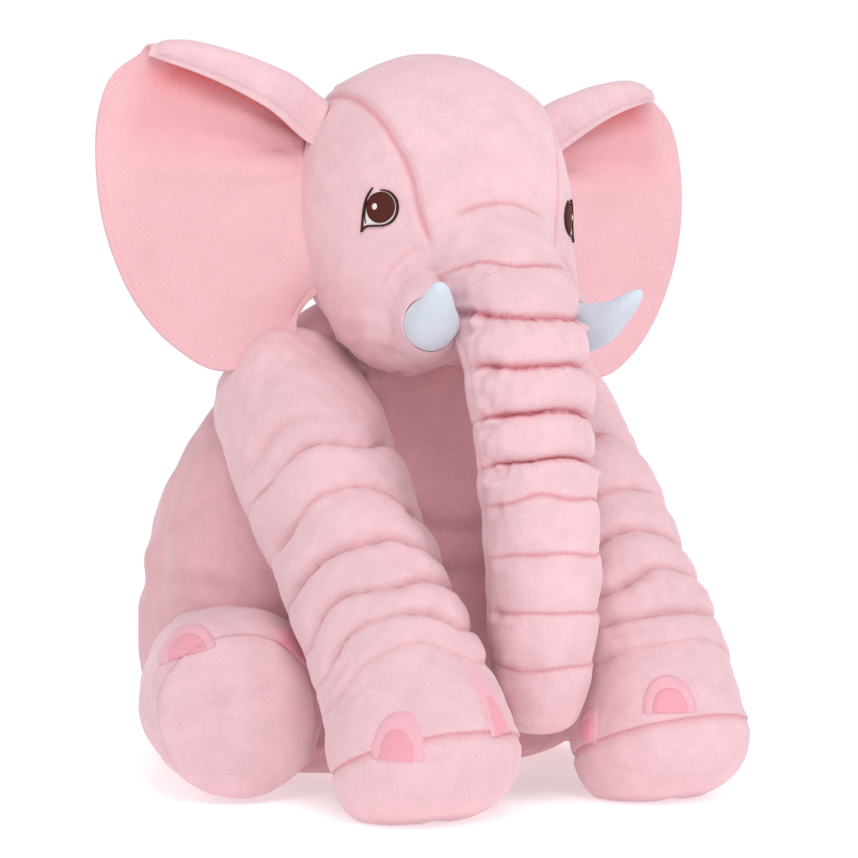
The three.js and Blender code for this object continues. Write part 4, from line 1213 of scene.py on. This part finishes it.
class PLUSH_OT_ears(PlushOperator, bpy.types.Operator):
    """Sew both ears: lining, pile back and the folded top"""

    bl_idname = "plush.ears"
    bl_label = "Ears"

    def execute(self, context):
        rows, columns = 150, 90
        v = np.linspace(0, 1.5, rows)[:, None] * np.ones((1, columns))
        u = np.linspace(0, 1, columns)[None, :] * np.ones((rows, 1))
        middle = ear_surface(u, v)
        normal = unit(np.cross(np.gradient(middle, axis=0), np.gradient(middle, axis=1)))
        if normal[20, 40, 1] > 0:
            normal = -normal
        rim = np.minimum(np.minimum(1 - u, 0.2 + u), np.minimum(v * 0.9, (1.5 - v) * 0.9))
        pad = 0.0012 + 0.0046 * ease(0.0, 0.22, rim)
        pad += 0.0006 * waves(middle, 0.05, 91) * ease(0, 0.1, rim)
        pad += 0.0016 * ease(1.0, 1.15, v) * ease(0.0, 0.1, rim)
        pad += 0.0004 * ease(1.1, 1.2, v) * waves(middle, 0.05, 93) * ease(0, 0.1, rim)
        groove = 0.0009 * bell(rim - 0.045, 0.012)
        front = middle + normal * (pad - groove)[..., None]
        back = middle - normal * (pad - groove)[..., None]
        for side, name in SIDES:
            flip = np.array([side, 1, 1])
            lining = self.sheet(f"{name}_ear_lining_cloth", front, middle, flip, "lining", v)
            outer = self.sheet(f"{name}_ear_back_plush", back, middle, flip, "plush", v)
            declare(lining, (f"{name}_ear_lining",), f"{name}_ear")
            declare(outer, (f"{name}_ear_back", f"{name}_ear_wadding"),
                    f"{name}_ear")
        return {"FINISHED"}

    def sheet(self, name, skin, middle, flip, kind, v):
        """One cloth of the ear, closed against the middle of the wadding."""
        rows, columns = skin.shape[:2]
        points = np.concatenate([skin.reshape(-1, 3), middle.reshape(-1, 3)]) * flip
        half = rows * columns
        faces = []
        for i in range(rows - 1):
            for j in range(columns - 1):
                a = i * columns + j
                quad = (a, a + 1, a + columns + 1, a + columns)
                faces.append(quad)
                faces.append(tuple(half + k for k in quad[::-1]))
        rim = ([(0, j) for j in range(columns)] + [(i, columns - 1) for i in range(1, rows)]
               + [(rows - 1, j) for j in range(columns - 2, -1, -1)]
               + [(i, 0) for i in range(rows - 2, 0, -1)])
        for k, (i, j) in enumerate(rim):
            m, n = rim[(k + 1) % len(rim)]
            a, b = i * columns + j, m * columns + n
            faces.append((b, a, half + a, half + b))
        obj = oriented(new_object(name, place(points), faces, fabric(kind)))
        fold = obj.data.attributes.new("fold_depth", "FLOAT", "POINT")
        shadow = np.zeros(v.shape)
        # Painted shadow on the lining towards and under the folded top, fading out at the outer
        # tip.
        if kind == "lining":
            outer = np.linspace(0, 1, columns)[None, :]
            shadow = 0.3 * ease(0.62, 0.9, v) + 0.7 * ease(0.86, 1.0, v)
            shadow = shadow * (1 - 0.9 * ease(0.7, 0.97, outer))
        flat = shadow.ravel().astype(np.float32)
        fold.data.foreach_set("value", np.concatenate([flat, flat]))
        return obj


# ------------------------------------------------------------------ body
BODY_STATIONS = [
    (0, 0.098, 0.0006, 0.020, 0.016, 0, 2.2), (0, 0.098, 0.0006, 0.100, 0.078, 0, 2.2),
    (0, 0.098, 0.001, 0.140, 0.106, 0, 2.2), (0, 0.098, 0.006, 0.164, 0.126, 0, 2.2),
    (0, 0.098, 0.020, 0.184, 0.142, 0, 2.2), (0, 0.100, 0.050, 0.202, 0.156, 0, 2.2),
    (0, 0.100, 0.095, 0.209, 0.161, 0, 2.15), (0, 0.100, 0.140, 0.209, 0.159, 0, 2.1),
    (0, 0.098, 0.190, 0.203, 0.154, 0, 2.05), (0, 0.094, 0.240, 0.190, 0.143, 0, 2),
    (0, 0.086, 0.285, 0.170, 0.127, 0, 2), (0, 0.074, 0.322, 0.143, 0.107, 0, 2),
    (0, 0.064, 0.350, 0.120, 0.090, 0, 2), (0, 0.056, 0.372, 0.101, 0.076, 0, 2),
    (0, 0.052, 0.390, 0.080, 0.060, 0, 2), (0, 0.050, 0.402, 0.048, 0.038, 0, 2),
    (0, 0.050, 0.406, 0.014, 0.014, 0, 2),
]


BODY_DOWN = 190
BODY_AROUND = 260
BODY_FRONT = -math.pi / 2
BODY_SEAMS = (BODY_FRONT - 0.53, BODY_FRONT + 0.53, math.pi / 2)


def body_relief(grid, turn, height):
    """Panel seams, belly folds and soft dents of the body."""
    relief = 0.0018 * waves(grid, 0.13, 51) + 0.0003 * waves(grid, 0.035, 53)
    groove = sizes().seam_groove
    for seam in BODY_SEAMS:
        off = np.abs((turn - seam + math.pi) % TAU - math.pi)[None, :] * 0.17
        relief += -groove * bell(off, 0.0035) + 0.0012 * bell(off - 0.010, 0.010)
        relief += 0.0010 * bell(off, 0.02) * waves(grid, 0.015, 57)
    belly = bell((turn - BODY_FRONT + math.pi) % TAU - math.pi, 0.7)[None, :]
    for z, deep in ((0.205, 0.0050), (0.168, 0.0040), (0.132, 0.0025)):
        line = height + 0.006 * waves(grid, 0.12, 59)
        relief -= deep * belly * (bell(line - z, 0.006) - 0.5 * bell(line - z - 0.016, 0.012))
    hip = bell(height - 0.165, 0.03) * bell(np.abs(grid[..., 0]) - 0.19, 0.06)
    relief += 0.0018 * hip * waves(grid * np.array([1, 1, 2.4]), 0.06, 61)
    shoulder = bell(height - 0.29, 0.05) * bell(np.abs(grid[..., 0]) - 0.14, 0.05)
    relief += 0.0018 * shoulder * waves(grid * np.array([2.0, 1, 1]), 0.06, 67)
    outer = bell(np.abs(grid[..., 0]) - 0.20, 0.035)
    for z, slope, deep in ((0.160, 0.10, 0.0042), (0.215, -0.55, 0.0034), (0.262, -0.8, 0.0030)):
        line = height - z - slope * (grid[..., 1] - 0.06)
        dent = bell(line, 0.0045) - 0.4 * bell(line - 0.013, 0.010)
        relief -= deep * outer * bell(grid[..., 1] - 0.03, 0.06) * dent
    return relief


class PLUSH_OT_body(PlushOperator, bpy.types.Operator):
    """Sew the body with its belly panel, back seam and seat"""

    bl_idname = "plush.body"
    bl_label = "Body"

    def execute(self, context):
        grid, centres, turn = tube_grid(BODY_STATIONS, BODY_DOWN, BODY_AROUND)
        grid = stuffed(grid, lambda p: bell(p[:, 2], 0.02) + bell(p[:, 2] - 0.41, 0.05), 0.009)
        height = grid[..., 2]
        relief = body_relief(grid, turn, height) * ease(0.0, 0.03, height)
        grid = grid + outward(grid, centres) * relief[..., None]
        grid[..., 2] = np.maximum(grid[..., 2], 0.0004)
        body = wrapped("body_plush", place(grid), fabric("plush"))
        # Painted shade over the whole body, a little deeper on the front below the shoulders.
        shade_side = bell((turn - BODY_FRONT + math.pi) % TAU - math.pi, 0.62)[None, :]
        paint_crease_shade(body, 0.24 + 0.06 * shade_side * ease(0.40, 0.30, height))
        tree = skin_tree(body)
        paths = []
        for seam in BODY_SEAMS:
            column = int(round(seam / TAU * BODY_AROUND)) % BODY_AROUND
            paths.append(snap(tree, place(grid[20:150:3, column]), THREAD_LIFT))
        threads = stitches("body_seam_threads", paths, fabric("thread"),
                           sizes().stitch_pitch)
        declare(body, (
            "belly_panel", "left_body_panel", "right_body_panel", "seat_panel",
            "body_filling"), "torso")
        declare(threads, (), "torso")
        return {"FINISHED"}


# ------------------------------------------------------------------ front legs
SHOULDER = np.array([0.112, 0.018, 0.300])
LEG_LINES_Z = [0.238, 0.196, 0.166, 0.140, 0.117, 0.095]
LEG_PULL = [0.90, 0.60, 0.75, 0.62, 0.55, 0.28]


def leg_stations():
    x, y, z = SHOULDER
    r = 0.0625
    return [
        (x, y + 0.050, z + 0.054, 0.12 * r, 0.12 * r, -42, 2),
        (x, y + 0.046, z + 0.050, 0.45 * r, 0.45 * r, -42, 2),
        (x, y + 0.036, z + 0.039, 0.76 * r, 0.76 * r, -42, 2),
        (x, y + 0.020, z + 0.022, 0.96 * r, 0.95 * r, -42, 2),
        (x + 0.002, y - 0.004, z - 0.004, 1.05 * r, 1.04 * r, -42, 2),
        (x + 0.002, y - 0.046, z - 0.048, 1.07 * r, 1.05 * r, -42, 2),
        (x + 0.001, y - 0.092, z - 0.098, 1.04 * r, 1.03 * r, -40, 2),
        (x - 0.003, y - 0.137, z - 0.147, 1.02 * r, 1.02 * r, -36, 2),
        (x - 0.006, y - 0.175, z - 0.192, 1.03 * r, 1.05 * r, -31, 2),
        (x - 0.009, y - 0.200, z - 0.228, 1.07 * r, 1.12 * r, -26, 2.05),
        (x - 0.010, y - 0.213, z - 0.254, 1.09 * r, 1.16 * r, -22, 2.1),
    ]


def foot_rings(last, count=26):
    """Rings that close the foot: round the sole's edge, then flat on the floor."""
    centre = last.mean(0)
    rings = []
    for share in np.linspace(0, 1, count + 1)[1:]:
        lean = share * math.pi / 2
        ring = centre + (last - centre) * math.cos(lean) ** 0.62
        drop = 0.046 * math.sin(lean) ** 0.9
        ring = ring + np.array([0, -0.013 * math.sin(lean), -drop])
        rings.append(ring)
    return np.array(rings[:-1])


class PLUSH_OT_front_legs(PlushOperator, bpy.types.Operator):
    """Sew both front legs with gathered lines and padded soles"""

    bl_idname = "plush.front_legs"
    bl_label = "Front Legs"

    def execute(self, context):
        for side, name, seed in ((1, "left", 100), (-1, "right", 140)):
            self.leg(side, name, seed)
        return {"FINISHED"}

    def leg(self, side, name, seed):
        around = 168
        edge = 230
        grid, centres, turn = tube_grid(leg_stations(), edge, around, 0.25)
        run = travelled(centres)
        back = turn - 1.5 * math.pi
        lines = np.interp(-np.array(LEG_LINES_Z), -centres[:, 2], run)
        sewn = np.array([np.interp(-z, -centres[:, 2], centres[:, 1]) for z in LEG_LINES_Z])

        def held(points):
            lean = 0.72 * (points[:, None, 1] - sewn) + 0.69 * (LEG_LINES_Z - points[:, None, 2])
            line = (bell(lean, 0.004) * np.array(LEG_PULL)).max(1)
            return np.maximum(line, ease(0.30, 0.34, points[:, 2]))

        grid = stuffed(grid, held, 0.006)
        normal = outward(grid, centres)
        shift = 0.0045 * waves(grid, 0.09, seed) - 0.010 * (1 - np.cos(back))[None, :]
        reach = run[:, None] + shift
        front = 1 - ease(1.3, 2.2, np.abs(back))[None, :]
        pull = sizes().leg_groove * np.array(LEG_PULL)
        uneven = 1 + 0.25 * waves(grid, 0.06, seed + 1)
        relief = (0.06 + 0.94 * front) * uneven * quilting(reach, lines, pull, 0.30, 0.012)
        # Painted crease shade along the sewn lines, the half folds at the sides and the fold below
        # the top line.
        crease_shade = front * crease_shade_at(reach, lines, 0.6 * np.array(LEG_PULL), 0.0022)
        for k, (line, share) in enumerate(zip(lines, LEG_PULL)):
            sides = bell(np.abs(back) - 1.1, 0.5)[None, :]
            half = bell(reach - line - 0.014, 0.0030) * share
            half = half * ease(0.1, 0.9, waves(grid, 0.10, seed + 11 + k))
            relief -= 0.0036 * half * sides
            crease_shade = np.maximum(crease_shade, 0.25 * half * sides)
            near = bell(reach - line, 0.012)
            relief += 0.0010 * share * front * near * waves(grid, 0.018, seed + 3)
        relief += 0.0014 * waves(grid, 0.08, seed + 7) + 0.0003 * waves(grid, 0.02, seed + 9)
        fold = bell(reach - lines[0] + 0.032, 0.0055) * bell(back - 0.9, 0.6)[None, :]
        relief -= 0.0038 * fold
        crease_shade = np.maximum(crease_shade, 0.2 * fold)
        grid = grid + normal * relief[..., None]
        grid = np.concatenate([grid, foot_rings(grid[-1])])
        for k, ring in ((edge - 2, 0.4), (edge - 1, 1.0), (edge, 0.6)):
            middle = grid[k].mean(0)
            grid[k] = middle + (grid[k] - middle) * (1 - 0.028 * ring)
        floor = 0.0006
        low = grid[..., 2] < floor
        grid[..., 2] = np.where(low, floor + 0.04 * (grid[..., 2] - floor), grid[..., 2])
        grid[..., 2] = np.maximum(grid[..., 2], 0.0002)
        grid = grid * np.array([side, 1, 1])
        leg = wrapped(f"{name}_front_leg_plush", place(grid), fabric("plush"))
        # Painted shade in the seam round the sole.
        rim = 0.55 * bell(np.arange(len(grid)) - (edge - 1), 0.9)[:, None]
        crease_shade = np.concatenate([crease_shade, np.zeros((len(grid) - len(crease_shade), around))])
        paint_crease_shade(leg, np.maximum(crease_shade, rim))
        tree = skin_tree(leg)
        paths = []
        half = around // 2
        for line in lines[4:]:
            path = []
            for j in range(half - 38, half + 39, 2):
                i = int(np.argmin(np.abs(reach[:, j] - line)))
                path.append(place(grid[i, j]))
            paths.append(snap(tree, path, THREAD_LIFT))
        rim = [place(grid[edge - 1, j % around]) for j in range(0, around + 1, 2)]
        paths.append(snap(tree, rim, THREAD_LIFT))
        threads = stitches(f"{name}_front_leg_threads", paths, fabric("thread"),
                           sizes().stitch_pitch)
        bend = ("torso", f"{name}_front_leg", (side * 0.112, 0.048, 0.334),
                (side * 0.112, -0.022, 0.258))
        declare(leg, (
            f"{name}_front_leg_cover", f"{name}_front_leg_sole",
            f"{name}_front_leg_filling"), blend=bend)
        declare(threads, (), f"{name}_front_leg")


# ------------------------------------------------------------------ hind legs
HIP = (0.164, 0.044, 0.0745)
HIP_SPLAY = 17
HIND_STATIONS = [
    (0, 0.062, 0, 0.008, 0.008, 90, 2), (0, 0.058, 0, 0.034, 0.034, 90, 2),
    (0, 0.044, 0, 0.055, 0.055, 90, 2), (0, 0.014, 0, 0.068, 0.068, 90, 2),
    (0, -0.026, 0, 0.0710, 0.0710, 90, 2.05), (0, -0.062, 0, 0.0725, 0.0725, 90, 2.05),
    (0, -0.092, -0.001, 0.0715, 0.0715, 90, 2.05),
    (0, -0.112, -0.004, 0.0685, 0.0680, 90, 2.05),
    (0, -0.124, -0.008, 0.0630, 0.0635, 90, 2.05),
]


class PLUSH_OT_hind_legs(PlushOperator, bpy.types.Operator):
    """Sew both hind legs with their round soles"""

    bl_idname = "plush.hind_legs"
    bl_label = "Hind Legs"

    def execute(self, context):
        for side, name, seed in ((1, "left", 200), (-1, "right", 230)):
            self.leg(side, name, seed)
        return {"FINISHED"}

    def leg(self, side, name, seed):
        around = 160
        rows = 120
        grid, centres, turn = tube_grid(HIND_STATIONS, rows, around)
        grid = stuffed(grid, lambda p: ease(-0.1, -0.124, p[:, 1]) + ease(0, 0.03, p[:, 1]),
                       0.005)
        run = travelled(centres)
        normal = outward(grid, centres)
        edge = run[-1]
        gather = bell(run - edge + 0.012, 0.016)[:, None]
        relief = 0.0013 * waves(grid, 0.08, seed) + 0.0002 * waves(grid, 0.02, seed + 1)
        ribs = waves(grid * np.array([1, 0.2, 1]), 0.024, seed + 2)
        relief += 0.0007 * gather * ribs
        relief += 0.0018 * bell(run - 0.05, 0.03)[:, None] * waves(grid, 0.04, seed + 3)
        grid = grid + normal * relief[..., None]
        sole = []
        last = grid[-1]
        centre = last.mean(0)
        for share in np.linspace(0, 1, 29)[1:-1]:
            lean = share * math.pi / 2
            ring = centre + (last - centre) * math.cos(lean)
            sole.append(ring + np.array([0, -0.0165 * math.sin(lean) ** 0.85, 0]))
        sole = np.array(sole)
        sole[..., 1] += 0.0009 * waves(sole, 0.04, seed + 4)
        grid = np.concatenate([grid, sole])
        for k, ring in ((rows - 2, 0.4), (rows - 1, 1.0), (rows, 0.7)):
            middle = grid[k].mean(0)
            grid[k] = middle + (grid[k] - middle) * (1 - 0.022 * ring)
        placed = moved(grid, seat_matrix(side, HIP, HIP_SPLAY))
        placed[..., 2] = np.maximum(placed[..., 2], 0.0004)
        leg = wrapped(f"{name}_hind_leg_plush", placed, fabric("plush"))
        # Painted shade in the seam round the sole.
        rim = 0.55 * bell(np.arange(len(grid)) - (rows - 1), 0.9)[:, None]
        paint_crease_shade(leg, np.repeat(rim, around, 1))
        tree = skin_tree(leg)
        rim = [placed[rows - 1, j % around] for j in range(0, around + 1, 2)]
        threads = stitches(f"{name}_hind_leg_threads", [snap(tree, rim, THREAD_LIFT)],
                           fabric("thread"), sizes().stitch_pitch)
        bend = ("torso", f"{name}_hind_leg", (side * 0.170, 0.075, 0.0745),
                (side * 0.183, 0.008, 0.0745))
        declare(leg, (
            f"{name}_hind_leg_cover", f"{name}_hind_leg_sole", f"{name}_hind_leg_filling"),
            blend=bend)
        declare(threads, (), f"{name}_hind_leg")


# ------------------------------------------------------------------ toenails
# Foot, nail, turn from straight ahead towards the left side, height, width and height.
FRONT_NAILS = [
    ("right_front", "outer", -41, 0.0545, 0.040, 0.034),
    ("right_front", "inner", 24, 0.0695, 0.025, 0.025),
    ("left_front", "outer", -25, 0.0745, 0.040, 0.030),
    ("left_front", "inner", -86, 0.048, 0.024, 0.027),
]


def half_moon(wide, tall, count=44):
    turn = TAU * np.arange(count) / count
    x = 0.5 * wide * soft_power(np.cos(turn), 2.3)
    y = np.where(np.sin(turn) > 0, 0.94 * tall * np.sin(turn), 0.05 * tall * np.sin(turn))
    return np.stack([x, y], 1) * 1000


class PLUSH_OT_toenails(PlushOperator, bpy.types.Operator):
    """Sew a half-moon toenail on each toe"""

    bl_idname = "plush.toenails"
    bl_label = "Toenails"

    def execute(self, context):
        for foot, which, angle, height, wide, tall in FRONT_NAILS:
            side = 1 if foot.startswith("left") else -1
            leg = bpy.data.objects[f"{foot}_leg_plush"]
            middle = Vector(place((side * 0.102, -0.188, height)))
            way = Vector((math.sin(math.radians(angle)), -math.cos(math.radians(angle)), 0))
            self.nail(foot, which, leg, middle, way, wide, tall)
        for side, name in SIDES:
            leg = bpy.data.objects[f"{name}_hind_leg_plush"]
            for which, turn in (("outer", 50), ("inner", 134)):
                lean = math.radians(turn)
                way = Vector((math.cos(lean), 0, math.sin(lean)))
                matrix = seat_matrix(side, HIP, HIP_SPLAY)
                middle = matrix @ Vector((0, -0.1225, -0.006))
                self.nail(f"{name}_hind", which, leg, middle,
                          matrix.to_3x3() @ way, 0.044, 0.032, matrix.to_3x3() @ Vector(
                              (0, 1, 0)))
        return {"FINISHED"}

    def nail(self, foot, which, leg, middle, way, wide, tall, up=None):
        tree = skin_tree(leg)
        start = middle + way * 0.15
        origin, normal, _, _ = tree.ray_cast(start, -way)
        rise = up or Vector((0, 0, 1))
        rise = (rise - normal * rise.dot(normal)).normalized()
        across = rise.cross(normal).normalized()
        spot = (origin, across, rise, normal)
        rim = appliqued(f"{foot}_{which}_nail_edge", tree, spot, half_moon(wide, tall),
                        0.0004, 0.0011, fabric("nail_rim"), 6)
        middle_cloth = appliqued(
            f"{foot}_{which}_nail_cloth", tree, spot, half_moon(wide * 0.66, tall * 0.64),
            0.0011, 0.0014, fabric("nail"), 6)
        body = f"{foot}_leg"
        node_name = f"{foot}_foot_{which}_nail"
        declare(rim, (node_name,), body)
        declare(middle_cloth, (), body)


# ------------------------------------------------------------------ tail
class PLUSH_OT_tail(PlushOperator, bpy.types.Operator):
    """Sew the short tail"""

    bl_idname = "plush.tail"
    bl_label = "Tail"

    def execute(self, context):
        y = 0.258
        stations = [
            (0, y - 0.004, 0.156, 0.0100, 0.0100, 20, 2), (0, y + 0.008, 0.148, 0.0105,
             0.0105, 20, 2), (0, y + 0.014, 0.130, 0.0095, 0.0095, 12, 2),
            (0, y + 0.017, 0.112, 0.0088, 0.0088, 8, 2), (0, y + 0.018, 0.096, 0.0105,
             0.0105, 4, 2), (0, y + 0.018, 0.086, 0.0092, 0.0092, 0, 2),
            (0, y + 0.018, 0.081, 0.0030, 0.0030, 0, 2),
        ]
        grid, centres, turn = tube_grid(stations, 70, 40)
        relief = 0.0005 * waves(grid, 0.012, 301)
        relief -= 0.0008 * bell(np.abs(turn - math.pi / 2), 0.12)[None, :]
        grid = grid + outward(grid, centres) * relief[..., None]
        tail = wrapped("tail_plush", place(grid), fabric("plush"))
        declare(tail, ("tail",), "tail")
        return {"FINISHED"}


# ------------------------------------------------------------------ stage
class PLUSH_OT_stage(PlushOperator, bpy.types.Operator):
    """Set up the floor, the soft lights and the camera"""

    bl_idname = "plush.stage"
    bl_label = "Stage"

    LIGHTING = 0.68
    BACKDROP = 1.0
    FLOOR_GLOW = 0.385
    FLOOR_HALF = 14
    AIM = (0, 0, 0.3)

    def execute(self, context):
        self.floor()
        self.light("key", (-0.7, -2.0, 2.3), 1.5, 33)
        self.light("fill", (1.5, -1.6, 1.5), 1.6, 7)
        world = bpy.data.worlds.new("Studio")
        world.use_nodes = True
        tree = world.node_tree
        sky = tree.nodes["Background"]
        sky.inputs["Color"].default_value = (1, 1, 1, 1)
        path = node(tree, "ShaderNodeLightPath")
        level = node(tree, "ShaderNodeMapRange")
        level.inputs["To Min"].default_value = self.LIGHTING
        level.inputs["To Max"].default_value = self.BACKDROP
        tree.links.new(path.outputs["Is Camera Ray"], level.inputs["Value"])
        tree.links.new(level.outputs["Result"], sky.inputs["Strength"])
        context.scene.world = world
        context.scene.view_settings.view_transform = "Standard"
        self.camera(context)
        return {"FINISHED"}

    def floor(self):
        material = bpy.data.materials.new("Pale Floor")
        material.use_nodes = True
        shader = material.node_tree.nodes["Principled BSDF"]
        shader.inputs["Base Color"].default_value = (0.93, 0.93, 0.93, 1)
        shader.inputs["Emission Color"].default_value = (1, 1, 1, 1)
        shader.inputs["Emission Strength"].default_value = self.FLOOR_GLOW
        shader.inputs["Roughness"].default_value = 0.9
        size = self.FLOOR_HALF
        points = [(-size, -size, 0), (size, -size, 0), (size, size, 0), (-size, size, 0)]
        new_object("floor", points, [(0, 1, 2, 3)], material)

    def light(self, name, spot, size, power):
        lamp = bpy.data.lights.new(name, "AREA")
        lamp.size = size
        lamp.energy = power
        obj = bpy.data.objects.new(name, lamp)
        obj.location = spot
        way = Vector(self.AIM) - Vector(spot)
        obj.rotation_euler = way.to_track_quat("-Z", "Y").to_euler()
        bpy.context.scene.collection.objects.link(obj)

    def camera(self, context):
        data = bpy.data.cameras.new("camera")
        data.sensor_width = 36
        data.lens = 85.6
        obj = bpy.data.objects.new("camera", data)
        obj.location = (-0.772, -1.515 + EAR_LINE_Y, 0.28)
        way = Vector((0.454, 0.891, 0.0025))
        obj.rotation_euler = way.to_track_quat("-Z", "Y").to_euler()
        bpy.context.scene.collection.objects.link(obj)
        context.scene.camera = obj


class PLUSH_PT_panel(bpy.types.Panel):
    """Sewing steps of the plush elephant"""

    bl_label = "Plush Elephant"
    bl_idname = "PLUSH_PT_panel"
    bl_space_type = "VIEW_3D"
    bl_region_type = "UI"
    bl_category = "Plush"

    def draw(self, context):
        layout = self.layout
        for name in cloth().bl_rna.properties.keys():
            if name not in ("rna_type", "name"):
                layout.prop(cloth(), name)
        for name in sizes().bl_rna.properties.keys():
            if name not in ("rna_type", "name"):
                layout.prop(sizes(), name)
        for operator in OPERATORS:
            layout.operator(operator.bl_idname)


OPERATORS = (
    PLUSH_OT_stage, PLUSH_OT_head, PLUSH_OT_trunk, PLUSH_OT_eyes, PLUSH_OT_tusks,
    PLUSH_OT_ears, PLUSH_OT_body, PLUSH_OT_front_legs, PLUSH_OT_hind_legs,
    PLUSH_OT_toenails, PLUSH_OT_tail,
)
CLASSES = (PlushCloth, PlushSizes, *OPERATORS, PLUSH_PT_panel)


def register():
    for item in CLASSES:
        bpy.utils.register_class(item)
    bpy.types.Scene.plush_cloth = PointerProperty(type=PlushCloth)
    bpy.types.Scene.plush_sizes = PointerProperty(type=PlushSizes)


def unregister():
    del bpy.types.Scene.plush_sizes
    del bpy.types.Scene.plush_cloth
    for item in reversed(CLASSES):
        bpy.utils.unregister_class(item)


def main():
    register()
    for operator in OPERATORS:
        group, name = operator.bl_idname.split(".")
        getattr(getattr(bpy.ops, group), name)()


if __name__ == "__main__":
    main()
